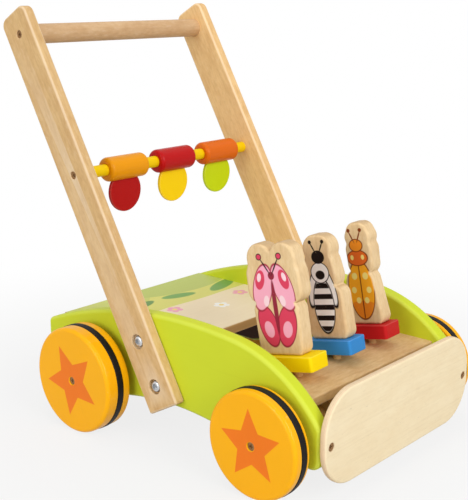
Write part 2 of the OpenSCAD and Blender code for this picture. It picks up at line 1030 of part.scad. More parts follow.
module spindle(i) {
    color("tan")
        on_spindle(i, disc_at)
            cylinder(d = spindle_d, h = spindle_len);
}

module friction_disc(i) {
    color("burlywood")
        on_spindle(i, disc_at)
            difference() {
                cylinder(d = disc_d, h = disc_t);
                translate([0, 0, -cut])
                    bore(spindle_d + 2 * seat_fit, disc_t + 2 * cut);
            }
}

module right_base() {
    base(RIGHT, "gold");
}

module middle_base() {
    base(MIDDLE, "dodgerblue");
}

module left_base() {
    base(LEFT, "firebrick");
}

module right_spindle() {
    spindle(RIGHT);
}

module middle_spindle() {
    spindle(MIDDLE);
}

module left_spindle() {
    spindle(LEFT);
}

module right_friction_disc() {
    friction_disc(RIGHT);
}

module middle_friction_disc() {
    friction_disc(MIDDLE);
}

module left_friction_disc() {
    friction_disc(LEFT);
}

right_side_panel();
left_side_panel();
right_post();
left_post();
handle_bar();
bead_rod();
upper_deck();
lower_deck();
front_board();
rear_board();
post_bolts();
tee_nuts();
handle_screws();
rod_screws();
front_board_screws();
upper_deck_dowels();
lower_deck_dowels();
rear_board_dowels();
front_axle();
front_right_wheel();
front_left_wheel();
front_right_ring();
front_left_ring();
front_wheel_screws();
front_spacers();
drive_rollers();
rear_axle();
rear_right_wheel();
rear_left_wheel();
rear_right_ring();
rear_left_ring();
rear_wheel_screws();
rear_spacers();
right_bead();
middle_bead();
left_bead();
right_flag();
middle_flag();
left_flag();
right_figure();
middle_figure();
left_figure();
right_base();
middle_base();
left_base();
right_spindle();
middle_spindle();
left_spindle();
right_friction_disc();
middle_friction_disc();
left_friction_disc();
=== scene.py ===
"""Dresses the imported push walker: rounded wood, satin paint, printed boards, rubber and steel."""

import math
from typing import NamedTuple

import bmesh
import bpy
import numpy as np
from bpy.props import FloatProperty, FloatVectorProperty, PointerProperty
from mathutils import Matrix, Vector


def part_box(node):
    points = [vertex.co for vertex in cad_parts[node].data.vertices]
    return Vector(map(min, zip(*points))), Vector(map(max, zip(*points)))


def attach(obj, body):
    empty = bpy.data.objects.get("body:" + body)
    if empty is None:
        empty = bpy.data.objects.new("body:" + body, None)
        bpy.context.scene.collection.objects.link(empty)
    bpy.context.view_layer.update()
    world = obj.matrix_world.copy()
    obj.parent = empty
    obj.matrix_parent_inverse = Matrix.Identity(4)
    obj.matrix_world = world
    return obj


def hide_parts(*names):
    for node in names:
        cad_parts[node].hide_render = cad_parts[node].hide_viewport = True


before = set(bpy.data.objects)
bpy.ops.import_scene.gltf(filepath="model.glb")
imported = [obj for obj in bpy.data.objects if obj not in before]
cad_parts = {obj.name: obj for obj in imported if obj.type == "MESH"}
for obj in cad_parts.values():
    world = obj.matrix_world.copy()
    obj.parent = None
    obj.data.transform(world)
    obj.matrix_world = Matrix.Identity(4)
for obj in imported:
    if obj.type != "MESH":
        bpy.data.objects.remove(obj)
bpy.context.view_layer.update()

bl_info = {
    "name": "Push Walker Looks",
    "version": (1, 0, 0),
    "blender": (4, 5, 0),
    "location": "3D View > Sidebar > Walker",
    "description": "Rounded wood, satin paint and printed boards for a child's push walker",
    "category": "Object",
}

RIGHT, LEFT = -1, 1
SIDES = {"right": RIGHT, "left": LEFT}
PLACES = ("right", "middle", "left")
TURN_STEPS = 96
EASE_STEPS = 6
SHARP_EDGE = math.radians(38)
EDGE_MARK = "edge"
PLACE_MARK = "place"


def middle_of(node):
    """The middle of a CAD node's box."""
    low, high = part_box(node)
    return (low + high) / 2


def span_of(node):
    """The size of a CAD node's box."""
    low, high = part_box(node)
    return high - low


FRONT_AXLE = middle_of("front_axle")
REAR_AXLE = middle_of("rear_axle")


# Properties


def srgb(*levels):
    """A screen colour, 0 to 255, as the linear colour that a shader takes."""
    return tuple(c / 3294.6 if c <= 10.3 else ((c / 255 + 0.055) / 1.055) ** 2.4 for c in levels)


def length(name, description, millimetres):
    return FloatProperty(
        name=name,
        description=description,
        default=millimetres / 1000,
        min=0.0,
        precision=4,
        unit="LENGTH",
        subtype="DISTANCE",
    )


def turn(name, description, degrees):
    return FloatProperty(
        name=name,
        description=description,
        default=math.radians(degrees),
        unit="ROTATION",
        subtype="ANGLE",
    )


def share(name, description, default):
    return FloatProperty(
        name=name, description=description, default=default, min=0.0, max=1.0, subtype="FACTOR"
    )


def tint(name, description, *levels):
    return FloatVectorProperty(
        name=name,
        description=description,
        default=srgb(*levels),
        size=3,
        min=0.0,
        max=1.0,
        subtype="COLOR",
    )


class WalkerPanelSizes(bpy.types.PropertyGroup):
    """Outline of the arched side panels, measured from the front axle."""

    wheelbase: length("Wheelbase", "Distance between the axles", 228.5)
    front: length("Front reach", "From the front axle to the panel's front edge", 54)
    rear: length("Rear reach", "From the rear axle to the panel's rear edge", 81.5)
    bottom: length("Bottom", "Height of the lower edge", 32)
    top: length("Top", "Height of the arch", 135)
    crown_y: length("Crown place", "Highest point of the arch behind the front axle", 108)
    crown_r: length("Crown radius", "Radius of the long arch", 530)
    nose_y: length("Nose place", "Where the tighter front curve starts", 48)
    nose_r: length("Nose radius", "Radius of the front curve", 145)
    corner: length("Lower corners", "Radius of the lower corners", 11)
    tip: length("Upper corners", "Radius of the upper corners", 6)
    ease: length("Edge", "Radius of the rounded edges", 4)
    hollow_y: length("Hollow place", "Middle of the hollow behind the front axle", 118)
    hollow_w: length("Hollow width", "Width of the hollow in the lower edge", 190)
    hollow_h: length("Hollow height", "Height of the hollow", 13.5)


class WalkerPostSizes(bpy.types.PropertyGroup):
    """The leaning posts and the bars between them."""

    length: length("Length", "Length of a post", 424)
    width: length("Width", "Width of a post's broad face", 42)
    lean: turn("Lean", "Lean to the rear", 29.4)
    foot_y: length("Foot place", "Middle of the lower end behind the front axle", 124.4)
    foot_z: length("Foot height", "Height of the middle of the lower end", 45)
    corner: length("Top corners", "Radius of the two upper corners", 9)
    ease: length("Edge", "Radius of the rounded edges", 2.5)
    bolt_low: length("Lower bolt", "Place of the lower bolt along the post", 23.5)
    bolt_pitch: length("Bolt spacing", "Distance between the two bolts", 46.5)
    bolt_head: length("Bolt head", "Width of a bolt's head", 12.5)
    recess: length("Recess", "Width of the recess around a bolt head", 15)
    recess_depth: length("Recess depth", "Depth of that recess", 4.2)
    nut_recess: length("Nut recess", "Width of the recess around a nut's flange", 16.3)
    nut_depth: length("Nut recess depth", "Depth of that recess", 1.5)
    handle_at: length("Handle place", "Place of the handle along the post", 400)
    rod_at: length("Rod place", "Place of the bead rod along the post", 246)


class WalkerWheelSizes(bpy.types.PropertyGroup):
    """Wheels, their rubber rings and the printed star."""

    edge: length("Outer edge", "Radius of the rounded outer edge", 4)
    back_edge: length("Inner edge", "Radius of the rounded inner edge", 2.5)
    ring: length("Ring", "Thickness of the rubber ring", 4.5)
    ring_width: length("Ring width", "Width of the rubber ring", 8)
    ring_proud: length("Ring stand", "How far the ring stands proud of the wheel", 0.5)
    cap: length("Cap", "Wood between an axle's end and the outer face", 8)
    star: share("Star", "Reach of the star's points as a part of the wheel's radius", 0.697)
    star_waist: share("Star waist", "Inner corners as a part of the reach", 0.47)
    front_turn: turn("Front turn", "How far the front wheels are turned", -5.2)
    rear_turn: turn("Rear turn", "How far the rear wheels are turned", -28.7)


class WalkerFigureSizes(bpy.types.PropertyGroup):
    """The printed boards and their painted feet."""

    height: length("Height", "Height of a board", 106)
    thickness: length("Thickness", "Thickness of a board", 18)
    ease: length("Edge", "Radius of a board's rounded edges", 3)
    turn: turn("Turn", "How far boards and feet are turned at rest", -87)
    lean: turn("Lean", "Lean of the spindles to the rear", 11.5)
    spindle_y: length("Spindle place", "Where the spindles leave the deck behind the front axle", 15.5)
    stand: length("Stand", "From the deck along a spindle to its foot", 6.604)
    foot_length: length("Foot length", "Length of a foot", 53)
    foot_depth: length("Foot depth", "Depth of a foot", 28)
    foot_thickness: length("Foot thickness", "Thickness of a foot", 14.5)
    foot_corner: length("Foot corners", "Radius of a foot's corners", 3)
    foot_ease: length("Foot edge", "Radius of a foot's edges", 1)
    board_corner: length("Front board corners", "Radius of the front board's corners", 40)
    board_ease: length("Front board edge", "Radius of the front board's edges", 2.5)


class WalkerColours(bpy.types.PropertyGroup):
    """Paints, prints, woods and one painted shade."""

    lime: tint("Panel paint", "Paint of the side panels", 204, 216, 48)
    wheel: tint("Wheel paint", "Paint of the wheels", 250, 178, 10)
    star: tint("Star print", "Print on the wheels", 238, 117, 24)
    post_pale: tint("Post wood, pale", "Pale wood between the streaks of the posts", 227, 190, 134)
    post_deep: tint("Post wood, deep", "Streaks of the posts", 206, 161, 105)
    handle_pale: tint("Handle wood, pale", "Pale wood of the handle", 214, 179, 137)
    handle_deep: tint("Handle wood, deep", "Streaks of the handle", 195, 152, 107)
    board_pale: tint("Board wood, pale", "Pale face of the boards", 243, 226, 190)
    board_deep: tint("Board wood, deep", "Streaks of the boards", 236, 215, 175)
    ply_edge: tint("Ply edge", "Sawn edge of the boards", 236, 208, 172)
    rod: tint("Rod paint", "Paint of the bead rod", 244, 204, 4)
    bead_right: tint("Right bead", "Paint of the right bead", 232, 151, 2)
    bead_middle: tint("Middle bead", "Paint of the middle bead", 184, 8, 10)
    bead_left: tint("Left bead", "Paint of the left bead", 220, 102, 6)
    flag_right: tint("Right flag", "Paint of the right flag", 178, 14, 14)
    flag_middle: tint("Middle flag", "Paint of the middle flag", 252, 212, 2)
    flag_left: tint("Left flag", "Paint of the left flag", 198, 218, 16)
    foot_right: tint("Right foot", "Paint of the right foot", 255, 222, 0)
    foot_middle: tint("Middle foot", "Paint of the middle foot", 56, 140, 212)
    foot_left: tint("Left foot", "Paint of the left foot", 196, 26, 30)
    rose: tint("Rose print", "Light print of the right board", 246, 172, 196)
    raspberry: tint("Raspberry print", "Deep print of the right board", 218, 66, 96)
    ink: tint("Ink", "Dark lines of the prints", 46, 30, 26)
    paper: tint("White print", "White of the prints", 253, 252, 248)
    amber: tint("Amber print", "Main print of the left board", 250, 170, 34)
    rust: tint("Rust print", "Deep print of the left board", 226, 104, 34)
    straw: tint("Straw print", "Pale dots of the prints", 250, 226, 128)
    leaf: tint("Leaf print", "Deep green of the deck's print", 122, 170, 84)
    meadow: tint("Meadow print", "Pale green of the deck's print", 222, 220, 116)
    # Painted shade: a dark brown laid on the inside of the panels under the upper deck, where there is
    # only shade
    painted_shade: tint("Dark stain", "Inside of the panels under the upper deck", 74, 40, 24)
    rubber: tint("Rubber", "Rings on the wheels", 14, 10, 8)
    steel: tint("Bright steel", "Bolts and nuts", 206, 208, 210)
    bronze: tint("Dark steel", "Wood screws", 150, 112, 70)


class WalkerLooks(bpy.types.PropertyGroup):
    """All that a user would change."""

    panel: PointerProperty(type=WalkerPanelSizes)
    post: PointerProperty(type=WalkerPostSizes)
    wheel: PointerProperty(type=WalkerWheelSizes)
    figure: PointerProperty(type=WalkerFigureSizes)
    colour: PointerProperty(type=WalkerColours)


def looks():
    return bpy.context.scene.walker


# Finishes


def reckoning(operation, reflected=False):
    """An operator of Wire that adds one Math node, its operands swapped if it is reflected."""

    def operator(wire, *others):
        values = (*others, wire) if reflected else (wire, *others)
        return wire.finish.maths(operation, *values)

    return operator


class Wire:
    """A shader value in an expression: each operator adds the Math node that it needs."""

    def __init__(self, finish, socket):
        self.finish = finish
        self.socket = socket

    __add__ = reckoning("ADD")
    __radd__ = reckoning("ADD", reflected=True)
    __sub__ = reckoning("SUBTRACT")
    __rsub__ = reckoning("SUBTRACT", reflected=True)
    __mul__ = reckoning("MULTIPLY")
    __rmul__ = reckoning("MULTIPLY", reflected=True)
    __truediv__ = reckoning("DIVIDE")
    __rtruediv__ = reckoning("DIVIDE", reflected=True)
    __pow__ = reckoning("POWER")
    __mod__ = reckoning("FLOORED_MODULO")
    __abs__ = reckoning("ABSOLUTE")
    __gt__ = reckoning("GREATER_THAN")


class Speckle(NamedTuple):
    """Even noise, in waves to the metre."""

    scale: float
    detail: float = 3.0
    rough: float = 0.5


class Streaks(NamedTuple):
    """Noise drawn out along the grain, in waves to the metre along it and across it."""

    along: float
    across: float
    detail: float = 2.0
    rough: float = 0.6
    bend: float = 0.0


class Shading:
    """A tree of shader nodes that is built one node at a time."""

    def __init__(self, tree):
        self.tree = tree

    def node(self, kind, settings=(), sockets=(), out=0):
        """One node: its settings first, then the values or wires of its sockets."""
        made = self.tree.nodes.new(kind)
        for key, value in dict(settings).items():
            setattr(made, key, value)
        for key, value in dict(sockets).items():
            self.feed(made.inputs[key], value)
        return Wire(self, made.outputs[out])

    def feed(self, socket, value):
        if isinstance(value, Wire):
            self.tree.links.new(value.socket, socket)
        elif socket.type == "RGBA":
            socket.default_value = (*value, 1.0)
        else:
            socket.default_value = value

    def maths(self, operation, *values):
        return self.node("ShaderNodeMath", {"operation": operation}, enumerate(values))

    def shown(self):
        """1 for a ray that shows the backdrop: straight, mirrored or through glass."""
        path = self.node("ShaderNodeLightPath").socket.node.outputs
        rays = [Wire(self, path[f"Is {kind} Ray"]) for kind in ("Camera", "Glossy", "Transmission")]
        return self.maths("MAXIMUM", rays[0], self.maths("MAXIMUM", *rays[1:]))


class Finish(Shading):
    """A material made of nodes around one Principled shader."""

    COAT_ROUGHNESS = 0.14

    def __init__(self, name, sheen=0.2, coat=0.0, metallic=0.0):
        self.material = bpy.data.materials.new(name)
        self.material.use_nodes = True
        super().__init__(self.material.node_tree)
        self.shader = self.tree.nodes["Principled BSDF"]
        constants = {
            "Specular IOR Level": sheen,
            "Coat Weight": coat,
            "Coat Roughness": self.COAT_ROUGHNESS,
            "Metallic": metallic,
        }
        for socket, value in constants.items():
            self.shader.inputs[socket].default_value = value

    def place(self):
        """Where a point is in its piece, before the piece was put in the walker."""
        return self.node("ShaderNodeAttribute", {"attribute_name": PLACE_MARK}, out="Vector")

    def spot(self):
        """Where a point is in the walker at rest."""
        return self.node("ShaderNodeTexCoord", out="Object")

    def facing(self, way):
        """How much a point's face looks along a way in the walker at rest, 1 if fully."""
        sockets = {0: self.node("ShaderNodeTexCoord", out="Normal"), 1: way}
        return self.node("ShaderNodeVectorMath", {"operation": "DOT_PRODUCT"}, sockets, out="Value")

    def edge(self):
        """1 on a rounded edge, 0 on a flat."""
        return self.node("ShaderNodeAttribute", {"attribute_name": EDGE_MARK}, out="Fac")

    def parts(self, vector):
        """The three coordinates of a vector."""
        made = self.node("ShaderNodeSeparateXYZ", sockets={"Vector": vector})
        return [Wire(self, socket) for socket in made.socket.node.outputs]

    def noise(self, vector, scale, detail, rough, bend=0.0):
        sockets = {"Vector": vector, "Scale": scale, "Detail": detail, "Roughness": rough}
        return self.node("ShaderNodeTexNoise", sockets={**sockets, "Distortion": bend})

    def speckle(self, at, kind):
        return self.noise(at, kind.scale, kind.detail, kind.rough)

    def streaks(self, at, kind, axis):
        """Noise drawn out along one axis."""
        scale = tuple(kind.along if i == axis else kind.across for i in range(3))
        drawn = self.node("ShaderNodeMapping", sockets={"Vector": at, "Scale": scale})
        return self.noise(drawn, 1.0, kind.detail, kind.rough, kind.bend)

    def soft(self, value, low, high):
        """0 below low, 1 above high, smooth between."""
        sockets = {"Value": value, "From Min": low, "From Max": high}
        return self.node("ShaderNodeMapRange", {"interpolation_type": "SMOOTHSTEP"}, sockets)

    def blend(self, mask, under, over):
        """One colour over another by a mask."""
        sockets = {0: mask, 6: under, 7: over}
        return self.node("ShaderNodeMix", {"data_type": "RGBA"}, sockets, out=2)

    def base(self, colour):
        self.feed(self.shader.inputs["Base Color"], colour)

    def rough(self, value):
        self.feed(self.shader.inputs["Roughness"], value)

    def raised(self, height, distance):
        """Fine relief from a height between 0 and 1."""
        bump = self.node("ShaderNodeBump", sockets={"Height": height, "Distance": distance})
        self.feed(self.shader.inputs["Normal"], bump)


def deeper(colour, factor):
    return tuple(c * factor for c in colour)


def toward(colour, other, amount):
    return tuple(c + (o - c) * amount for c, o in zip(colour, other))


WHITE = (1.0, 1.0, 1.0)
# Lighter tone of rounded painted edges: thin paint with a painted highlight
THIN_PAINT_HIGHLIGHT = (1.0, 0.96, 0.82)
RUBBED_PAINT = (1.0, 0.94, 0.8)
# Lighter tone of rounded wooden edges: a painted highlight
WOOD_EDGE_HIGHLIGHT = (1.0, 0.92, 0.78)
X, Y, Z = range(3)
ALONG_X, ALONG_Y, ALONG_Z = (1.0, 0.0, 0.0), (0.0, 1.0, 0.0), (0.0, 0.0, 1.0)
PAINT_SHEEN = 0.14
WOOD_SHEEN = 0.15
PAINT_RELIEF = 0.00014
WOOD_RELIEF = 0.00022
PLY_RELIEF = 0.0002
PRINT_RELIEF = 0.00016
RUBBER_RELIEF = 0.0001
METAL_RELIEF = 0.00004


def leaning(angle):
    """The upright way after a lean to the rear."""
    return (0.0, math.sin(angle), math.cos(angle))


# How far the painted shade fades past the upper deck's sides, before and behind its front, and under
# it
SHADE_SIDE, SHADE_BEFORE, SHADE_BEHIND, SHADE_UNDER = 0.001, 0.01, 0.03, 0.004


def shade_under_deck(made, at):
    """1 on the inside of the panels under the upper deck, where shade is painted, 0 elsewhere."""
    low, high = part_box("upper_deck")
    x, y, z = made.parts(at)
    inner = 1 - made.soft(abs(x), high.x, high.x + SHADE_SIDE)
    behind = made.soft(y, low.y - SHADE_BEFORE, low.y + SHADE_BEHIND)
    below = 1 - made.soft(z, low.z - SHADE_UNDER, low.z)
    return inner * behind * below


PAINT_CLOUD = Speckle(16.0)
PAINT_GRAIN = Streaks(9.0, 210.0, 5.0)
PAINT_PEEL = Speckle(900.0, 2.0)
PAINT_SPECKS = Speckle(330.0, 2.0, 0.7)


def satin_paint(name, colour, axis=Y, gloss=0.42, sheen=PAINT_SHEEN, painted_shade=None):
    """Satin paint on wood: clouding, the grain below, orange peel, thin paint on the edges with a
    painted highlight, and painted shade under the upper deck if a shade colour is given.
    """
    made = Finish(name, sheen)
    at = made.place()
    cloud = made.speckle(at, PAINT_CLOUD)
    grain = made.streaks(at, PAINT_GRAIN, axis)
    peel = made.speckle(at, PAINT_PEEL)
    specks = made.soft(made.speckle(at, PAINT_SPECKS), 0.72, 0.78)
    # Thin paint and a painted highlight: the rounded edges are lightened
    thin_and_highlight = made.edge() * (0.04 + cloud * 0.1)
    tone = made.blend(cloud, deeper(colour, 0.96), deeper(colour, 1.04))
    tone = made.blend(made.soft(grain, 0.56, 0.8) * 0.12, tone, deeper(colour, 0.72))
    tone = made.blend(thin_and_highlight, tone, toward(colour, THIN_PAINT_HIGHLIGHT, 0.5))
    tone = made.blend(specks * 0.14, tone, deeper(colour, 0.55))
    # Painted shade: the inside of the panels under the upper deck is darkened towards a dark brown
    if painted_shade is not None:
        shaded_tone = made.blend(grain, painted_shade, deeper(painted_shade, 0.6))
        tone = made.blend(shade_under_deck(made, at), tone, shaded_tone)
    made.base(tone)
    made.rough(gloss + cloud * 0.08 + grain * 0.06)
    made.raised(grain * 0.7 + peel * 0.5, PAINT_RELIEF)
    return made.material


WOOD_LINES = Streaks(9.0, 330.0, 5.0, bend=0.3)
WOOD_BANDS = Streaks(2.2, 30.0, rough=0.5, bend=0.8)
WOOD_MOTTLE = Streaks(34.0, 80.0, 4.0)
WOOD_PORES = Streaks(110.0, 1000.0)
WOOD_TICKS = Streaks(130.0, 360.0)
MANY_TICKS, FEW_TICKS = 0.28, 0.12


def wood_tone(made, at, axis, pale, deep, ticked=MANY_TICKS):
    """Colour, height and fine lines of planed wood whose grain runs along one axis."""
    lines = made.streaks(at, WOOD_LINES, axis)
    bands = made.streaks(at, WOOD_BANDS, axis)
    mottle = made.streaks(at, WOOD_MOTTLE, axis)
    flecks = made.soft(made.streaks(at, WOOD_PORES, axis), 0.67, 0.76)
    ticks = made.streaks(at, WOOD_TICKS, axis)
    tone = made.blend(made.soft(mottle, 0.3, 0.7), pale, toward(pale, deep, 0.55))
    tone = made.blend(made.soft(bands, 0.45, 0.75) * 0.35, tone, deep)
    tone = made.blend(made.soft(lines, 0.45, 0.75) * 0.4, tone, deeper(deep, 0.92))
    tone = made.blend(made.soft(ticks, 0.48, 0.72) * ticked, tone, deeper(deep, 0.84))
    tone = made.blend((1 - made.soft(ticks, 0.3, 0.46)) * ticked, tone, toward(pale, WHITE, 0.16))
    tone = made.blend(flecks * 0.4, tone, deeper(deep, 0.62))
    return tone, lines * 0.6 + (1 - flecks) * 0.4, lines


END_DOTS = Speckle(700.0, 3.0, 0.6)


def end_grain(made, at, way, tone, deep):
    """Darker, dotted wood where a face looks along the grain."""
    across = made.soft(abs(made.facing(way)), 0.6, 0.9)
    dotted = made.blend(made.speckle(at, END_DOTS), deep, deeper(deep, 0.66))
    return made.blend(across * 0.8, tone, dotted)


def planed_wood(name, pale, deep, axis, way, gloss=0.44, solid=False):
    """Lacquered wood, its grain along an axis of its piece, or of the walker on a CAD solid."""
    made = Finish(name, WOOD_SHEEN)
    at = made.spot() if solid else made.place()
    tone, height, streaks = wood_tone(made, at, axis, pale, deep)
    tone = end_grain(made, at, way, tone, deep)
    # Painted highlight: the rounded edges are lightened in place of the bright line of light along
    # them
    made.base(made.blend(made.edge() * 0.45, tone, toward(pale, WOOD_EDGE_HIGHLIGHT, 0.6)))
    made.rough(gloss + streaks * 0.16)
    made.raised(height, WOOD_RELIEF)
    return made.material


SAWN_EDGE = Speckle(240.0, 4.0, 0.65)


def ply_board(name, pale, deep, edge, plies, thickness):
    """Pale plywood that faces along Y, with its plies showing on the sawn edge."""
    made = Finish(name)
    at = made.place()
    tone, height, streaks = wood_tone(made, at, X, pale, deep, FEW_TICKS)
    depth = made.parts(at)[Y]
    layer = made.soft(abs((depth * (plies / thickness)) % 1.0 - 0.5), 0.2, 0.3)
    sawn = made.soft(made.speckle(at, SAWN_EDGE), 0.5, 0.8)
    edges = made.blend(layer * 0.75, deeper(edge, 0.92), toward(edge, pale, 0.45))
    edges = made.blend(sawn * 0.3, edges, deeper(edge, 0.7))
    side = 1 - made.soft(abs(made.facing(ALONG_Y)), 0.45, 0.85)
    made.base(made.blend(side, tone, edges))
    made.rough(0.5 + streaks * 0.14)
    made.raised(height + side * layer * 0.5, PLY_RELIEF)
    return made.material


class Print:
    """Flat inks laid over a wood tone on the face of a board."""

    LINE = 0.009
    SOFT = 0.0035

    def __init__(self, finish, u, v, tone):
        self.finish = finish
        self.u = u
        self.v = v
        self.tone = tone

    def oval(self, at, radii, lean=0.0):
        """How far a point lies inside an oval, as a part of the board's height."""
        du, dv = self.u - at[0], self.v - at[1]
        c, s = math.cos(math.radians(lean)), math.sin(math.radians(lean))
        along = (du * c + dv * s) / radii[0]
        across = (dv * c - du * s) / radii[1]
        return (1 - (along * along + across * across) ** 0.5) * min(radii)

    def dot(self, at, radius):
        return self.oval(at, (radius, radius))

    def mask(self, inside):
        return self.finish.soft(inside, -self.SOFT, self.SOFT)

    def lay(self, inside, ink, line=None):
        """Ink where the inside is above nought, with a dark line round it if one is given."""
        if line is not None:
            self.tone = self.finish.blend(self.mask(inside + self.LINE), self.tone, line)
        self.tone = self.finish.blend(self.mask(inside), self.tone, ink)

    def within(self, inside, other, ink):
        """Ink where both insides are above nought."""
        both = self.mask(inside) * self.mask(other)
        self.tone = self.finish.blend(both, self.tone, ink)


# The insects are mirrored about their middle line. Places and radii are parts of a board's height

FEELER = 0.0075
GAUZE = (0.5, 0.55, 0.6)
STRIPE_PITCH, STRIPE = 0.1, 0.024
SEAM = 0.006


def butterfly(art, colour):
    """Rose wings with raspberry spots, seen from above."""
    rose, raspberry = colour.rose, colour.raspberry
    light, body = toward(rose, WHITE, 0.45), deeper(raspberry, 0.4)
    art.lay(art.oval((0.1, 0.265), (0.094, 0.18), -14), raspberry, deeper(raspberry, 0.45))
    art.lay(art.oval((0.1, 0.235), (0.05, 0.075), -14), rose)
    art.lay(art.oval((0.11, 0.61), (0.098, 0.205), 17), rose, deeper(raspberry, 0.55))
    art.lay(art.oval((0.13, 0.68), (0.05, 0.09), 17), raspberry)
    art.lay(art.oval((0.136, 0.702), (0.022, 0.04), 17), light)
    art.lay(art.oval((0.088, 0.49), (0.03, 0.05), 12), light)
    art.lay(art.oval((0.0, 0.43), (0.024, 0.25)), body)
    art.lay(art.oval((0.0, 0.715), (0.034, 0.036)), body)
    art.lay(art.oval((0.055, 0.8), (FEELER, 0.09), -32), colour.ink)
    art.lay(art.dot((0.108, 0.885), 0.022), raspberry, colour.ink)


def bee(art, colour):
    """A black and white striped body with pale wings, seen from above."""
    paper, black = colour.paper, deeper(colour.ink, 0.35)
    art.lay(art.oval((0.09, 0.48), (0.046, 0.165), 14), toward(paper, GAUZE, 0.1), black)
    art.lay(art.oval((0.094, 0.49), (0.02, 0.11), 14), paper)
    body = art.oval((0.0, 0.315), (0.105, 0.245))
    art.lay(body, paper, black)
    middle = STRIPE_PITCH / 2
    art.within(body, STRIPE - abs((art.v - middle) % STRIPE_PITCH - middle), black)
    art.lay(art.oval((0.0, 0.62), (0.092, 0.09)), paper, black)
    art.lay(art.oval((0.0, 0.6), (0.05, 0.042)), black)
    art.lay(art.oval((0.0, 0.765), (0.07, 0.062)), black)
    art.lay(art.oval((0.045, 0.855), (FEELER, 0.055), -26), black)
    art.lay(art.dot((0.068, 0.905), 0.018), black)


def beetle(art, colour):
    """Amber wing cases with pale dots, seen from above."""
    amber, rust, straw = colour.amber, colour.rust, colour.straw
    dark = deeper(rust, 0.28)
    case = art.oval((0.0, 0.335), (0.135, 0.275))
    art.lay(case, amber, dark)
    art.within(case, art.oval((0.0, 0.12), (0.2, 0.11)), toward(amber, rust, 0.6))
    art.lay(art.oval((0.06, 0.47), (0.03, 0.034)), straw)
    art.lay(art.oval((0.082, 0.335), (0.027, 0.031)), straw)
    art.lay(art.oval((0.045, 0.235), (0.026, 0.03)), straw)
    art.within(case, SEAM - abs(art.u), dark)
    art.lay(art.oval((0.0, 0.645), (0.105, 0.07)), rust, dark)
    art.lay(art.oval((0.058, 0.65), (0.018, 0.024)), straw)
    art.lay(art.oval((0.0, 0.765), (0.066, 0.055)), toward(rust, amber, 0.5), dark)
    art.lay(art.oval((0.04, 0.85), (FEELER, 0.06), -24), dark)
    art.lay(art.dot((0.064, 0.91), 0.019), dark)


# Each board's print and how far its middle line lies from the board's
MOTIFS = {"right": (butterfly, -0.08), "middle": (bee, 0.0), "left": (beetle, 0.015)}
PRINT_WEAR = Speckle(420.0, 3.0, 0.7)
PRINT_ROLL = 0.0007


def printed_board(name, motif, shift):
    """A thick wooden board with a flat print inside a margin of bare wood."""
    colour, size = looks().colour, looks().figure
    made = Finish(name, WOOD_SHEEN)
    pale = toward(colour.post_pale, colour.board_pale, 0.4)
    deep = toward(colour.post_deep, colour.board_deep, 0.3)
    at = made.place()
    tone, height, streaks = wood_tone(made, at, Z, pale, deep)
    tone = end_grain(made, at, leaning(size.lean), tone, deep)
    x, y, z = made.parts(at)
    art = Print(made, abs(x / size.height - shift), z / size.height, tone)
    motif(art, colour)
    worn = made.soft(made.speckle(at, PRINT_WEAR), 0.66, 0.78) * 0.35
    half = size.thickness / 2
    flat = made.soft(abs(y), half - PRINT_ROLL, half)
    made.base(made.blend(flat * (1 - worn), tone, art.tone))
    made.rough(0.4 + streaks * 0.16)
    made.raised(height, PLY_RELIEF)
    return made.material


# Places and radii on the deck are parts of its depth
HILL_SWAY, HILL_RISE = Streaks(0.0, 6.0, 1.0, 0.5), 0.16
MEADOW_EDGE = 0.62
BARE_FRONT, PRINT_FRONT = 0.01, 0.02
FLOWERS = (
    ((-0.44, 0.4), "paper"),
    ((-0.12, 0.5), "rose"),
    ((0.16, 0.34), "paper"),
    ((-0.3, 0.2), "rose"),
    ((0.46, 0.44), "rose"),
)
PETALS, PETAL, PETAL_REACH, FLOWER_HEART = 5, 0.022, 0.034, 0.018
DECK_GROUND = srgb(252, 236, 203)


def meadow_print(art, colour, sway):
    """Rolling hills, leaves and flowers."""
    leaf, meadow = colour.leaf, colour.meadow
    art.lay(art.v + sway - MEADOW_EDGE, meadow)
    art.lay(art.oval((-0.42, 0.86), (0.42, 0.2), 8), toward(leaf, meadow, 0.75))
    art.lay(art.oval((0.3, 0.98), (0.5, 0.26), -6), toward(leaf, meadow, 0.6))
    art.lay(art.oval((0.52, 0.66), (0.17, 0.055), 18), leaf)
    art.lay(art.oval((0.12, 0.7), (0.13, 0.045), -16), leaf)
    art.lay(art.oval((-0.2, 0.72), (0.12, 0.04), 12), deeper(leaf, 0.75))
    for (across, back), ink in FLOWERS:
        for k in range(PETALS):
            a = math.tau * k / PETALS
            petal = (across + PETAL_REACH * math.sin(a), back + PETAL_REACH * math.cos(a))
            art.lay(art.dot(petal, PETAL), getattr(colour, ink))
        art.lay(art.dot((across, back), FLOWER_HEART), colour.straw)


def printed_deck(name):
    """A meadow printed on the upper deck, with bare wood along its front, and its sawn edges and
    underside in a deep wood brown darkened as painted shade.
    """
    colour = looks().colour
    made = Finish(name, WOOD_SHEEN)
    low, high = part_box("upper_deck")
    at = made.spot()
    tone, height, streaks = wood_tone(
        made, at, X, colour.board_pale, colour.board_deep, FEW_TICKS
    )
    x, y, _ = made.parts(at)
    depth = high.y - low.y
    u, v = x / depth, (y - low.y) / depth
    art = Print(made, u, v, made.blend(0.6, tone, DECK_GROUND))
    meadow_print(art, colour, made.streaks(at, HILL_SWAY, Z) * HILL_RISE)
    face = made.blend(made.soft(v, BARE_FRONT, PRINT_FRONT), tone, art.tone)
    # Painted shade: faces that do not look up, the sawn edges and the underside, are a deep wood brown
    # darker than the face
    sawn = made.blend(streaks, colour.post_deep, deeper(colour.post_deep, 0.7))
    top = made.soft(made.facing(ALONG_Z), 0.75, 0.95)
    made.base(made.blend(top, sawn, face))
    made.rough(0.36 + streaks * 0.14)
    made.raised(height, PRINT_RELIEF)
    return made.material


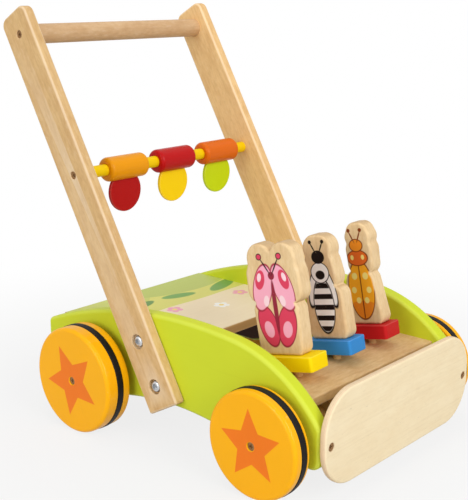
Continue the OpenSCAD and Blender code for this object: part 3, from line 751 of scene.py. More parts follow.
WHEEL_CLOUD = Speckle(24.0)
WHEEL_GRAIN = Streaks(12.0, 180.0, 5.0)
WHEEL_PEEL = Speckle(800.0, 2.0)
WHEEL_RUB = Speckle(140.0, 4.0, 0.7)
WHEEL_SHEEN, WHEEL_COAT = 0.1, 0.14
RIM_START = 0.87
STAR_POINTS = 5
STAR_DEPTH = 0.015
STAR_BLUR = 0.0003


def inside_star(made, y, z, radius, reach, waist):
    """1 inside a star with one point upwards, 0 outside."""
    fold = math.tau / STAR_POINTS
    angle = made.maths("ARCTAN2", y, z)
    angle = abs((angle + fold / 2) % fold - fold / 2)
    across, along = radius * made.maths("COSINE", angle), radius * made.maths("SINE", angle)
    nx, ny = waist * math.sin(fold / 2), 1 - waist * math.cos(fold / 2)
    norm = math.hypot(nx, ny)
    beyond = (across - reach) * (nx / norm) + along * (ny / norm)
    return 1 - made.soft(beyond, -STAR_BLUR, STAR_BLUR)


def starred_wheel(name, wheel_radius):
    """Satin wheel paint with a plain five-point star printed on the outer face."""
    size, colour = looks().wheel, looks().colour
    paint, star = colour.wheel, colour.star
    made = Finish(name, WHEEL_SHEEN, WHEEL_COAT)
    at = made.place()
    x, y, z = made.parts(at)
    cloud = made.speckle(at, WHEEL_CLOUD)
    grain = made.streaks(at, WHEEL_GRAIN, Z)
    peel = made.speckle(at, WHEEL_PEEL)
    radius = (y * y + z * z) ** 0.5
    outer = (abs(made.facing(ALONG_X)) > 0.9) * (x > STAR_DEPTH)
    inked = inside_star(made, y, z, radius, size.star * wheel_radius, size.star_waist) * outer
    tone = made.blend(cloud, deeper(paint, 0.95), deeper(paint, 1.04))
    tone = made.blend(made.soft(grain, 0.58, 0.8) * 0.14, tone, deeper(paint, 0.72))
    ink = made.blend(cloud, deeper(star, 0.94), deeper(star, 1.06))
    tone = made.blend(inked * (0.9 + grain * 0.1), tone, ink)
    rubbed = made.soft(made.speckle(at, WHEEL_RUB), 0.6, 0.75)
    rubbed = made.soft(radius, RIM_START * wheel_radius, wheel_radius) * rubbed
    made.base(made.blend(rubbed * 0.16, tone, toward(paint, RUBBED_PAINT, 0.6)))
    made.rough(0.3 + cloud * 0.1 + rubbed * 0.2)
    made.raised(grain * 0.6 + peel * 0.5, PAINT_RELIEF)
    return made.material


RUBBER_DUST = Speckle(90.0, 5.0, 0.65)
RUBBER_PITS = Speckle(1400.0, 3.0, 0.6)
DUST = srgb(70, 62, 56)


def ring_rubber(name):
    """Black rubber with a dusty bloom."""
    made = Finish(name)
    at = made.place()
    dust = made.speckle(at, RUBBER_DUST)
    made.base(made.blend(made.soft(dust, 0.5, 0.8) * 0.1, looks().colour.rubber, DUST))
    made.rough(0.46 + dust * 0.24)
    made.raised(made.speckle(at, RUBBER_PITS), RUBBER_RELIEF)
    return made.material


METAL_TARNISH = Speckle(260.0, 4.0, 0.6)
METAL_SCRATCHES = Streaks(300.0, 2600.0, 3.0)
METAL_SHEEN = 0.5


def worn_metal(name, colour, gloss, metallic):
    """Metal with fine scratches and a little tarnish."""
    made = Finish(name, METAL_SHEEN, metallic=metallic)
    at = made.spot()
    tarnish = made.speckle(at, METAL_TARNISH)
    made.base(made.blend(made.soft(tarnish, 0.45, 0.75), colour, deeper(colour, 0.6)))
    made.rough(gloss + tarnish * 0.2)
    made.raised(made.streaks(at, METAL_SCRATCHES, Y), METAL_RELIEF)
    return made.material


# Shapes

SAME_POINT = 1e-5
ON_AXIS = 1e-7
MITRE_LIMIT = 0.3
HOLE_STEPS = 48
LIP = 0.0005
SCREW_ROOM, SCREW_DEPTH, SCREW_LIP = 0.0081, 0.0034, 0.0004


def arc(centre, radius, start, stop, steps):
    """Points of an arc, angles in radians."""
    return [
        (centre[0] + radius * math.cos(a), centre[1] + radius * math.sin(a))
        for a in np.linspace(start, stop, steps + 1)
    ]


def distinct(points):
    """The outline without points that lie on the one before them."""
    kept = []
    for p in points:
        if not kept or math.dist(p, kept[-1]) > SAME_POINT:
            kept.append(p)
    if math.dist(kept[0], kept[-1]) < SAME_POINT:
        kept.pop()
    return kept


def rounded_box(width, height, low, high, steps=12):
    """A rectangle about the origin whose lower and upper corners have their own radii."""
    corners = (
        (width / 2 - high, height / 2 - high, high, 0.0),
        (high - width / 2, height / 2 - high, high, 0.5),
        (low - width / 2, low - height / 2, low, 1.0),
        (width / 2 - low, low - height / 2, low, 1.5),
    )
    outline = []
    for x, y, radius, start in corners:
        outline += arc((x, y), radius, start * math.pi, (start + 0.5) * math.pi, steps)
    return outline


def inward(outline):
    """How far each corner moves for an inset of one, with mitred corners."""
    points = np.array(outline)
    before = points - np.roll(points, 1, axis=0)
    after = np.roll(before, -1, axis=0)
    before /= np.linalg.norm(before, axis=1)[:, None]
    after /= np.linalg.norm(after, axis=1)[:, None]
    left = np.stack([-before[:, 1], before[:, 0]], axis=1)
    left_after = np.stack([-after[:, 1], after[:, 0]], axis=1)
    both = left + left_after
    return both / np.maximum((both * left).sum(axis=1), MITRE_LIMIT)[:, None]


def mesh_of(bm, name, marks=None):
    """The mesh of a finished bmesh, with the edge marks of its corners."""
    bmesh.ops.recalc_face_normals(bm, faces=bm.faces[:])
    mesh = bpy.data.meshes.new(name)
    bm.to_mesh(mesh)
    bm.free()
    if marks is not None:
        layer = mesh.attributes.new(EDGE_MARK, "FLOAT", "POINT")
        layer.data.foreach_set("value", marks)
    return mesh


def eased_plate(name, outline, thickness, ease, matrix):
    """A plate with rounded edges: its outline lies in XY before the matrix moves it."""
    outline = distinct(outline)
    step = inward(outline)
    points = np.array(outline)
    angles = [math.pi / 2 * i / EASE_STEPS for i in range(EASE_STEPS + 1)]
    layers = [(-1, a) for a in reversed(angles)] + [(1, a) for a in angles]
    bm = bmesh.new()
    rings, marks = [], []
    for side, a in layers:
        z = side * (thickness / 2 - ease * (1 - math.sin(a)))
        flat = points + step * (ease * (1 - math.cos(a)))
        rings.append([bm.verts.new(matrix @ Vector((p[0], p[1], z))) for p in flat])
        marks += [math.sin(2 * a)] * len(flat)
    for low, high in zip(rings, rings[1:]):
        for i in range(len(low)):
            j = (i + 1) % len(low)
            bm.faces.new((low[i], low[j], high[j], high[i]))
    bm.faces.new(list(reversed(rings[0])))
    bm.faces.new(rings[-1])
    return mesh_of(bm, name, marks)


def turned(name, profile, steps=TURN_STEPS):
    """A turned piece round X from the points (x, radius) of its section, which is closed."""
    bm = bmesh.new()
    rings = []
    for x, radius in profile:
        if radius < ON_AXIS:
            rings.append([bm.verts.new((x, 0.0, 0.0))])
            continue
        turns = [math.tau * k / steps for k in range(steps)]
        spots = [(x, radius * math.cos(a), radius * math.sin(a)) for a in turns]
        rings.append([bm.verts.new(spot) for spot in spots])
    for a, b in zip(rings, rings[1:] + rings[:1]):
        if len(a) == len(b) == 1:
            continue
        for i in range(steps):
            j = (i + 1) % steps
            corners = [a[i % len(a)], a[j % len(a)], b[j % len(b)], b[i % len(b)]]
            bm.faces.new(list(dict.fromkeys(corners)))
    return mesh_of(bm, name)


def joined(meshes):
    """Several meshes, each with its matrix, as one."""
    bm = bmesh.new()
    for mesh, matrix in meshes:
        start = len(bm.verts)
        bm.from_mesh(mesh)
        bm.verts.ensure_lookup_table()
        bmesh.ops.transform(bm, matrix=matrix, verts=bm.verts[start:])
    return mesh_of(bm, meshes[0][0].name)


def placed(name, data):
    """A new object in the scene."""
    thing = bpy.data.objects.new(name, data)
    bpy.context.scene.collection.objects.link(thing)
    return thing


def carved(mesh, cutter):
    """The mesh less the room that the cutter takes."""
    work, tool = placed("work", mesh), placed("tool", cutter)
    cut = work.modifiers.new("cut", "BOOLEAN")
    cut.operation = "DIFFERENCE"
    cut.solver = "EXACT"
    cut.object = tool
    bpy.context.view_layer.update()
    depsgraph = bpy.context.evaluated_depsgraph_get()
    made = bpy.data.meshes.new_from_object(work.evaluated_get(depsgraph), depsgraph=depsgraph)
    for thing in (work, tool):
        bpy.data.objects.remove(thing)
    if not made.polygons:
        raise RuntimeError(f"nothing is left of {mesh.name} after its cut")
    made.name = mesh.name
    return made


def hole(width, depth, lip=LIP):
    """A cutter along -X from the origin with a broken lip."""
    radius, out = width / 2, lip * 2
    brim = [(-lip, radius), (0.0, radius + lip), (out, radius + lip + out), (out, 0.0)]
    return turned("hole", [(-depth, 0.0), (-depth, radius), *brim], HOLE_STEPS)


def screw_hole():
    """The room of a sunk wood screw's head along -X from the origin."""
    return hole(SCREW_ROOM, SCREW_DEPTH, SCREW_LIP)


def coat(mesh, material):
    mesh.materials.clear()
    mesh.materials.append(material)


def show(name, mesh, material, body, replaced, matrix=Matrix.Identity(4)):
    """Puts a piece in place of its CAD nodes, and keeps each point's place in the piece."""
    spots = np.empty(3 * len(mesh.vertices), dtype=np.float32)
    mesh.vertices.foreach_get("co", spots)
    mesh.attributes.new(PLACE_MARK, "FLOAT_VECTOR", "POINT").data.foreach_set("vector", spots)
    mesh.transform(matrix)
    piece = placed(name, mesh)
    coat(mesh, material)
    mesh.shade_smooth()
    mesh.set_sharp_from_angle(angle=SHARP_EDGE)
    light = piece.modifiers.new("even light", "WEIGHTED_NORMAL")
    light.keep_sharp = True
    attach(piece, body)
    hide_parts(*replaced)


def refinish(material, *nodes):
    """Gives CAD nodes a better material."""
    for node in nodes:
        coat(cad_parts[node].data, material)


def swing(degrees, axis):
    return Matrix.Rotation(math.radians(degrees), 4, axis)


UPRIGHT_ALONG_X = Matrix(((0, 0, 1, 0), (1, 0, 0, 0), (0, 1, 0, 0), (0, 0, 0, 1)))
UPRIGHT_ALONG_Y = swing(90, "X")
FACING = {RIGHT: swing(180, "Z"), LEFT: Matrix.Identity(4)}
CORNER_STEPS, TIP_STEPS, CROWN_STEPS, NOSE_STEPS, HOLLOW_STEPS = 10, 8, 60, 36, 40


def panel_outline(size):
    """The side panel in the YZ plane, its hollow included, from the front axle."""
    crown = (size.crown_y, size.top - size.crown_r)
    nose_turn = math.pi / 2 + math.asin((size.crown_y - size.nose_y) / size.crown_r)
    reach = size.crown_r - size.nose_r
    nose = (crown[0] + reach * math.cos(nose_turn), crown[1] + reach * math.sin(nose_turn))
    rear_y = size.wheelbase + size.rear
    rear_tip_y = rear_y - size.tip
    rear_tip = (
        rear_tip_y,
        crown[1] + math.sqrt((size.crown_r - size.tip) ** 2 - (rear_tip_y - crown[0]) ** 2),
    )
    front_tip_y = size.tip - size.front
    front_tip = (
        front_tip_y,
        nose[1] + math.sqrt((size.nose_r - size.tip) ** 2 - (front_tip_y - nose[0]) ** 2),
    )
    rear_turn = math.atan2(rear_tip[1] - crown[1], rear_tip[0] - crown[0])
    front_turn = math.atan2(front_tip[1] - nose[1], front_tip[0] - nose[0])
    low = size.bottom + size.corner
    hollow_r = (size.hollow_w**2 / 4 + size.hollow_h**2) / (2 * size.hollow_h)
    half = math.asin(size.hollow_w / 2 / hollow_r)
    hollow = (size.hollow_y, size.bottom + size.hollow_h - hollow_r)
    up = math.pi / 2
    return (
        arc((rear_y - size.corner, low), size.corner, 3 * up, 4 * up, CORNER_STEPS)
        + arc(rear_tip, size.tip, 0.0, rear_turn, TIP_STEPS)
        + arc(crown, size.crown_r, rear_turn, nose_turn, CROWN_STEPS)
        + arc(nose, size.nose_r, nose_turn, front_turn, NOSE_STEPS)
        + arc(front_tip, size.tip, front_turn, math.pi, TIP_STEPS)
        + arc((size.corner - size.front, low), size.corner, math.pi, 3 * up, CORNER_STEPS)
        + arc(hollow, hollow_r, up + half, up - half, HOLLOW_STEPS)
    )


def mirror(mesh):
    """Turns a mesh of the left side into one of the right."""
    mesh.transform(Matrix.Diagonal((RIGHT, 1, 1, 1)))
    mesh.flip_normals()


def bolt_places():
    """Where the two bolts of a post are along it."""
    size = looks().post
    return size.bolt_low, size.bolt_low + size.bolt_pitch


def post_frame():
    """The left post's frame: X out of the walker, Z along the post from its lower end."""
    size = looks().post
    foot = (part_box("left_post")[0].x, FRONT_AXLE.y + size.foot_y, size.foot_z)
    return Matrix.Translation(foot) @ Matrix.Rotation(-size.lean, 4, "X")


# Each lobe: its middle line, then half its width, its height and its radius, low and high,
# as parts of the figure's height, and whether it is filled between its two sides
FIGURE_LOBES = {
    "right": (
        (-0.0875, (0.155, 0.075, 0.085), (0.155, 0.4, 0.09), True),
        (-0.075, (0.18, 0.58, 0.115), (0.17, 0.72, 0.12), True),
        (-0.07, (0.125, 0.8, 0.14), (0.125, 0.865, 0.14), False),
    ),
    "middle": (
        (0.0, (0.125, 0.075, 0.085), (0.105, 0.4, 0.1), True),
        (-0.01, (0.06, 0.58, 0.12), (0.04, 0.7, 0.12), True),
        (-0.01, (0.025, 0.84, 0.13), (0.025, 0.84, 0.13), True),
    ),
    "left": (
        (0.0, (0.12, 0.075, 0.085), (0.055, 0.42, 0.1), True),
        (0.03, (0.04, 0.58, 0.1), (0.045, 0.72, 0.1), True),
        (0.03, (0.035, 0.84, 0.105), (0.02, 0.885, 0.1), True),
    ),
}
FIGURE_RAYS, RAY_STEPS, RAY_REACH = 720, 2400, 0.62
FIGURE_POINTS = 240
FIGURE_FILLET = 0.018


def outside_lobes(u, v, lobes):
    """How far points lie outside a figure's lobes, with the notches between them filled softly."""
    total = None
    for line, (u1, v1, r1), (u2, v2, r2), filled in lobes:
        side = np.abs(u - line)
        run = (u2 - u1, v2 - v1)
        square = run[0] ** 2 + run[1] ** 2
        if filled:
            level = np.clip((v - v1) / run[1], 0, 1) if run[1] else 0.0
            side = np.maximum(side, u1 + run[0] * level)
        t = np.clip(((side - u1) * run[0] + (v - v1) * run[1]) / square, 0, 1) if square else 0.0
        gap = np.hypot(side - u1 - run[0] * t, v - v1 - run[1] * t) - (r1 + (r2 - r1) * t)
        if total is None:
            total = gap
            continue
        mixed = np.clip(0.5 + 0.5 * (gap - total) / FIGURE_FILLET, 0, 1)
        total = gap + (total - gap) * mixed - FIGURE_FILLET * mixed * (1 - mixed)
    return np.maximum(total, -v)


def figure_outline(lobes, height):
    """The outline of a figure, found along rays from its middle and spaced evenly."""
    angles = np.linspace(0, math.tau, FIGURE_RAYS, endpoint=False)
    reach = np.linspace(0.0, RAY_REACH, RAY_STEPS)
    u = np.outer(np.cos(angles), reach)
    v = 0.5 + np.outer(np.sin(angles), reach)
    outside = outside_lobes(u, v, lobes)
    last = (outside <= 0).cumprod(axis=1).sum(axis=1) - 1
    rows = np.arange(FIGURE_RAYS)
    inner, outer = outside[rows, last], outside[rows, last + 1]
    edge = reach[last] + (reach[1] - reach[0]) * inner / (inner - outer)
    points = np.stack([np.cos(angles) * edge, 0.5 + np.sin(angles) * edge], axis=1)
    loop = np.vstack([points, points[:1]])
    walked = np.concatenate([[0.0], np.cumsum(np.linalg.norm(np.diff(loop, axis=0), axis=1))])
    even = np.linspace(0, walked[-1], FIGURE_POINTS, endpoint=False)
    across = np.interp(even, walked, loop[:, 0])
    upward = np.interp(even, walked, loop[:, 1])
    return [(float(a * height), float(b * height)) for a, b in zip(across, upward)]


# Operators

INNER_GLOSS = 0.5


class WALKER_OT_side_panels(bpy.types.Operator):
    """Make the two arched side panels with their rounded edges and nut recesses"""

    bl_idname = "walker.side_panels"
    bl_label = "Side panels"

    def execute(self, context):
        size, colour = looks().panel, looks().colour
        # The lime paint is darkened under the upper deck as painted shade
        paint = satin_paint("lime satin paint", colour.lime, painted_shade=colour.painted_shade)
        thickness = span_of("left_side_panel").x
        across = middle_of("left_side_panel").x
        place = Matrix.Translation((across, FRONT_AXLE.y, 0)) @ UPRIGHT_ALONG_X
        cutter = self.nut_recesses(thickness)
        outline = panel_outline(size)
        for name, side in SIDES.items():
            plate = eased_plate(f"{name}_panel", outline, thickness, size.ease, place)
            mesh = carved(plate, cutter)
            if side == RIGHT:
                mirror(mesh)
            show(f"{name}_panel", mesh, paint, "frame", [f"{name}_side_panel"])
        return {"FINISHED"}

    @staticmethod
    def nut_recesses(thickness):
        """The cutter for the nuts' flanges in the left panel's inner face."""
        post = looks().post
        recess = hole(post.nut_recess, post.nut_depth)
        seats = [post_frame() @ Matrix.Translation((-thickness, 0, at)) for at in bolt_places()]
        return joined([(recess, seat @ FACING[RIGHT]) for seat in seats])


class WALKER_OT_posts(bpy.types.Operator):
    """Make the two leaning posts with their bolt recesses and screw holes"""

    bl_idname = "walker.posts"
    bl_label = "Posts"

    # Painted light and shade: the right post's wood is darkened and the left post's lightened against
    # the common one, to even out the light that falls on each
    PAINTED_LIGHT_FACTORS = {"right": 0.93, "left": 1.13}

    def execute(self, context):
        size, colour = looks().post, looks().colour
        thickness = span_of("left_post").x
        outline = rounded_box(size.width, size.length, size.ease, size.corner)
        middle = Matrix.Translation((thickness / 2, 0, size.length / 2)) @ UPRIGHT_ALONG_X
        holes = [(hole(size.recess, size.recess_depth), at) for at in bolt_places()]
        holes += [(screw_hole(), at) for at in (size.rod_at, size.handle_at)]
        cutter = joined([(h, Matrix.Translation((thickness, 0, at))) for h, at in holes])
        for name, side in SIDES.items():
            tones = [deeper(c, self.PAINTED_LIGHT_FACTORS[name]) for c in (colour.post_pale, colour.post_deep)]
            wood = planed_wood(f"{name} post wood", *tones, Z, leaning(size.lean))
            plate = eased_plate(f"{name}_upright", outline, thickness, size.ease, middle)
            mesh = carved(plate, cutter)
            if side == RIGHT:
                mirror(mesh)
            place = post_frame()
            place.translation.x *= side
            show(f"{name}_upright", mesh, wood, "frame", [f"{name}_post"], place)
        return {"FINISHED"}


class WALKER_OT_bars(bpy.types.Operator):
    """Make the handle and the bead rod between the posts"""

    bl_idname = "walker.bars"
    bl_label = "Handle and rod"

    # Bevel of a bar's ends as a part of its radius
    BEVEL = 0.12

    def execute(self, context):
        colour = looks().colour
        wood = planed_wood("handle wood", colour.handle_pale, colour.handle_deep, X, ALONG_X)
        paint = satin_paint("rod paint", colour.rod, X)
        for name, node, finish, slot in (
            ("handle", "handle_bar", wood, "post_wood"),
            ("rod", "bead_rod", paint, "rod_yellow"),
        ):
            span = span_of(node)
            half, radius = span.x / 2, span.z / 2
            ease = radius * self.BEVEL
            start = [(-half, 0.0), (-half, radius - ease), (ease - half, radius)]
            profile = start + [(-x, r) for x, r in reversed(start)]
            mesh = turned(name, profile)
            show(name, mesh, finish, "frame", [node], Matrix.Translation(middle_of(node)))
        return {"FINISHED"}


class WALKER_OT_beads(bpy.types.Operator):
    """Make the three beads and the flags under them"""

    bl_idname = "walker.beads"
    bl_label = "Beads and flags"

    BEAD_SLOTS = {"right": "bead_orange", "middle": "bead_red", "left": "bead_deep_orange"}
    FLAG_SLOTS = {"right": "flag_red", "middle": "flag_yellow", "left": "flag_green"}
    BEAD_GLOSS, BEAD_SHEEN = 0.28, 0.18
    FLAG_GLOSS = 0.34
    EASE, EASE_STEPS = 0.004, 8
    BORE_PLAY, BORE_LIP = 0.00008, 0.0006
    FLAG_STEPS = 72
    # Rounding of a flag's edges as a part of its thickness
    FLAG_EASE = 0.3

    def execute(self, context):
        for name in PLACES:
            body = f"{name}_bead_and_flag"
            self.bead(name, body)
            self.flag(name, body)
        return {"FINISHED"}

    def bead(self, name, body):
        node = f"{name}_bead"
        span, rod = span_of(node), middle_of("bead_rod")
        half, radius, ease, lip = span.x / 2, span.y / 2, self.EASE, self.BORE_LIP
        bore = span_of("bead_rod").z / 2 + self.BORE_PLAY
        up = math.pi / 2
        profile = [
            (half - lip, bore),
            (half, bore + lip),
            *arc((half - ease, radius - ease), ease, 0.0, up, self.EASE_STEPS),
            *arc((ease - half, radius - ease), ease, up, 2 * up, self.EASE_STEPS),
            (-half, bore + lip),
            (lip - half, bore),
        ]
        colour = getattr(looks().colour, f"bead_{name}")
        paint = satin_paint(f"{name} bead paint", colour, X, self.BEAD_GLOSS, self.BEAD_SHEEN)
        mesh = turned(f"bead_{name}", profile)
        place = Matrix.Translation((middle_of(node).x, rod.y, rod.z))
        show(f"bead_{name}", mesh, paint, body, [node], place)

    def flag(self, name, body):
        node = f"{name}_flag"
        low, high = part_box(node)
        radius = (high.x - low.x) / 2
        thickness = high.y - low.y
        middle = Vector(((low.x + high.x) / 2, (low.y + high.y) / 2, low.z + radius))
        half = math.asin((high.z - middle.z) / radius)
        outline = arc((0.0, 0.0), radius, math.pi - half, math.tau + half, self.FLAG_STEPS)
        colour = getattr(looks().colour, f"flag_{name}")
        paint = satin_paint(f"{name} flag paint", colour, Z, self.FLAG_GLOSS)
        ease = thickness * self.FLAG_EASE
        mesh = eased_plate(f"flag_{name}", outline, thickness, ease, UPRIGHT_ALONG_Y)
        place = Matrix.Translation(middle)
        show(f"flag_{name}", mesh, paint, body, [node], place)


class WALKER_OT_decks(bpy.types.Operator):
    """Finish the two decks and the rear board"""

    bl_idname = "walker.decks"
    bl_label = "Decks"

    BLEACH = 0.03

    def execute(self, context):
        colour = looks().colour
        tones = toward(colour.post_pale, WHITE, self.BLEACH), colour.post_deep
        wood = planed_wood("deck wood", *tones, X, ALONG_X, INNER_GLOSS, solid=True)
        refinish(printed_deck("printed deck"), "upper_deck")
        refinish(wood, "lower_deck", "rear_board")
        return {"FINISHED"}


class WALKER_OT_front_board(bpy.types.Operator):
    """Make the rounded front board with its screw holes"""

    bl_idname = "walker.front_board"
    bl_label = "Front board"

    CORNER_STEPS = 24
    PLIES = 5

    def execute(self, context):
        size, colour = looks().figure, looks().colour
        span, middle = span_of("front_board"), middle_of("front_board")
        corner = size.board_corner
        outline = rounded_box(span.x, span.z, corner, corner, self.CORNER_STEPS)
        plate = eased_plate("bumper", outline, span.y, size.board_ease, UPRIGHT_ALONG_Y)
        low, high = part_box("front_board_screws")
        half = (high.x - low.x) / 2 - (high.z - low.z) / 2
        height = (low.z + high.z) / 2 - middle.z
        places = [Matrix.Translation((side * half, -span.y / 2, height)) for side in (RIGHT, LEFT)]
        to_front = swing(-90, "Z")
        mesh = carved(plate, joined([(screw_hole(), place @ to_front) for place in places]))
        tones = colour.board_pale, colour.board_deep, colour.ply_edge
        ply = ply_board("front board ply", *tones, self.PLIES, span.y)
        matrix = Matrix.Translation(middle)
        show("bumper", mesh, ply, "frame", ["front_board"], matrix)
        return {"FINISHED"}


class WALKER_OT_wheels(bpy.types.Operator):
    """Make the four starred wheels and their rubber rings"""

    bl_idname = "walker.wheels"
    bl_label = "Wheels"

    FAR_TURN = math.radians(41)
    STEPS = 144
    BORE = 0.00705
    SHANK, HEAD, SINK = 0.00205, 0.00405, 0.0012
    RING_PLAY = 0.00005
    EDGE_STEPS, BACK_STEPS, RING_STEPS = 14, 8, 6

    def execute(self, context):
        size = looks().wheel
        rubber = ring_rubber("ring rubber")
        turns = {"front": size.front_turn, "rear": size.rear_turn}
        for end, axle in (("front", FRONT_AXLE), ("rear", REAR_AXLE)):
            body = f"{end}_wheelset"
            radius = span_of(f"{end}_left_wheel").z / 2
            paint = starred_wheel(f"{end} wheel paint", radius)
            for name, side in SIDES.items():
                node, seat = f"{end}_{name}_wheel", f"{end}_{name}_ring"
                width = span_of(node).x
                inner = middle_of(node).x - side * width / 2
                spin = turns[end] + (self.FAR_TURN if side == LEFT else 0.0)
                place = Matrix.Translation((inner, axle.y, axle.z)) @ FACING[side]
                place = place @ Matrix.Rotation(-spin, 4, "X")
                at = abs(middle_of(seat).x - inner)
                section = self.section(size, width, radius, at)
                wheel = turned(f"wheel_{end}_{name}", section, self.STEPS)
                show(wheel.name, wheel, paint, body, [node], place)
                ring = turned(f"ring_{end}_{name}", self.ring(size, radius, at), self.STEPS)
                show(ring.name, ring, rubber, body, [seat], place)
        return {"FINISHED"}

    def ring(self, size, radius, at):
        """The section of a flat band with rounded outer edges."""
        up, half, top = math.pi / 2, size.ring_width / 2, radius + size.ring_proud
        ease = size.ring / 3
        low = top - size.ring
        back = arc((at - half + ease, top - ease), ease, 2 * up, up, self.RING_STEPS)
        front = arc((at + half - ease, top - ease), ease, up, 0.0, self.RING_STEPS)
        return [(at - half, low), *back, *front, (at + half, low)]

    def section(self, size, width, radius, at):
        """The wheel's section from its bore round the rim and the ring's groove to the screw."""
        up, back, edge = math.pi / 2, size.back_edge, size.edge
        bore_depth = width - size.cap
        half = size.ring_width / 2 + self.RING_PLAY
        low = radius + size.ring_proud - size.ring - self.RING_PLAY
        cone = self.HEAD - self.SHANK
        return [
            (bore_depth, self.SHANK),
            (bore_depth, self.BORE),
            (LIP, self.BORE),
            (0.0, self.BORE + LIP),
            *arc((back, radius - back), back, 2 * up, up, self.BACK_STEPS),
            (at - half, radius),
            (at - half, low),
            (at + half, low),
            (at + half, radius),
            *arc((width - edge, radius - edge), edge, up, 0.0, self.EDGE_STEPS),
            (width, self.HEAD + LIP),
            (width - LIP, self.HEAD),
            (width - self.SINK, self.HEAD),
            (width - self.SINK - cone, self.SHANK),
        ]


class WALKER_OT_figures(bpy.types.Operator):
    """Make the three printed boards and their painted feet"""

    bl_idname = "walker.figures"
    bl_label = "Figures"

    FOOT_SLOTS = {"right": "base_yellow", "middle": "base_blue", "left": "base_red"}
    CORNER_STEPS = 6

    def execute(self, context):
        size, colour = looks().figure, looks().colour
        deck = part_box("lower_deck")[1].z
        lean = Matrix.Rotation(-size.lean, 4, "X") @ Matrix.Rotation(size.turn, 4, "Z")
        lean = lean @ Matrix.Translation((0, 0, size.stand))
        thickness, corner = size.foot_thickness, size.foot_corner
        foot_outline = rounded_box(
            size.foot_length, size.foot_depth, corner, corner, self.CORNER_STEPS
        )
        middle = Matrix.Translation((0, 0, thickness / 2))
        for name in PLACES:
            body = f"{name}_figure_set"
            spindle = (middle_of(f"{name}_spindle").x, FRONT_AXLE.y + size.spindle_y, deck)
            place = Matrix.Translation(spindle) @ lean
            foot = eased_plate(f"foot_{name}", foot_outline, thickness, size.foot_ease, middle)
            paint = satin_paint(f"{name} foot paint", getattr(colour, f"foot_{name}"), X)
            show(foot.name, foot, paint, body, [f"{name}_base"], place)
            outline = figure_outline(FIGURE_LOBES[name], size.height)
            board = eased_plate(
                f"figure_{name}", outline, size.thickness, size.ease, UPRIGHT_ALONG_Y
            )
            wood = printed_board(f"{name} board print", *MOTIFS[name])
            place = place @ Matrix.Translation((0, 0, thickness))
            show(board.name, board, wood, body, [f"{name}_figure"], place)
        return {"FINISHED"}


class WALKER_OT_fasteners(bpy.types.Operator):
    """Make the socket head bolts and finish the screws and nuts"""

    bl_idname = "walker.fasteners"
    bl_label = "Fasteners"

    SCREWS = (
        "handle_screws",
        "rod_screws",
        "front_board_screws",
        "front_wheel_screws",
        "rear_wheel_screws",
    )
    # Roughness and metallic share of the bolts and of the screws
    BRIGHT = (0.2, 1.0)
    BRONZED = (0.34, 0.6)
    HEAD_HEIGHT, SHANK = 0.0034, 0.003
    # How much narrower a head is on top, as a part of its radius
    DOME = 0.42
    DOME_POINTS, STEPS = 9, 64
    SOCKET_DEPTH, SOCKET_TOP, SOCKET_RADIUS, SOCKET_SIDES = 0.0022, 0.005, 0.0034, 6

    def execute(self, context):
        size, colour = looks().post, looks().colour
        bright = worn_metal("bright steel", colour.steel, *self.BRIGHT)
        refinish(worn_metal("bronzed steel", colour.bronze, *self.BRONZED), *self.SCREWS)
        refinish(bright, "tee_nuts")
        thickness = span_of("left_post").x
        reach = thickness + span_of("left_side_panel").x
        bolt = carved(self.bolt(size, reach), self.socket())
        places = []
        for side in (RIGHT, LEFT):
            for at in bolt_places():
                seat = Matrix.Translation((thickness - size.recess_depth, 0, at))
                places.append((bolt, Matrix.Diagonal((side, 1, 1, 1)) @ post_frame() @ seat))
        mesh = joined(places)
        show("bolts", mesh, bright, "frame", ["post_bolts"])
        return {"FINISHED"}

    def bolt(self, size, reach):
        """A button head with its shank, seated at the origin and facing +X."""
        head, height, shank = size.bolt_head / 2, self.HEAD_HEIGHT, self.SHANK
        dome = [
            (height * math.sin(a), head - (head * self.DOME) * (1 - math.cos(a)))
            for a in np.linspace(0.0, math.pi / 2, self.DOME_POINTS)
        ]
        tail = size.recess_depth - reach
        section = [(tail, 0.0), (tail, shank), (0.0, shank), *dome, (height, 0.0)]
        return turned("bolt", section, self.STEPS)

    def socket(self):
        """The six-sided cutter of a bolt's socket."""
        low, high = self.HEAD_HEIGHT - self.SOCKET_DEPTH, self.SOCKET_TOP
        radius = self.SOCKET_RADIUS
        section = [(low, 0.0), (low, radius), (high, radius), (high, 0.0)]
        return turned("socket", section, self.SOCKET_SIDES)


class WALKER_OT_inner_parts(bpy.types.Operator):
    """Finish the axles, the drive and the dowels"""

    bl_idname = "walker.inner_parts"
    bl_label = "Inner parts"

    ACROSS = (
        "front_axle",
        "rear_axle",
        "front_spacers",
        "rear_spacers",
        "drive_rollers",
        "upper_deck_dowels",
        "lower_deck_dowels",
        "rear_board_dowels",
    )

    def execute(self, context):
        colour = looks().colour
        wood = colour.post_pale, colour.post_deep
        across = planed_wood("axle wood", *wood, X, ALONG_X, INNER_GLOSS, solid=True)
        upright = planed_wood("spindle wood", *wood, Z, ALONG_Z, INNER_GLOSS, solid=True)
        refinish(across, *self.ACROSS)
        for name in PLACES:
            refinish(upright, f"{name}_spindle", f"{name}_friction_disc")
        return {"FINISHED"}


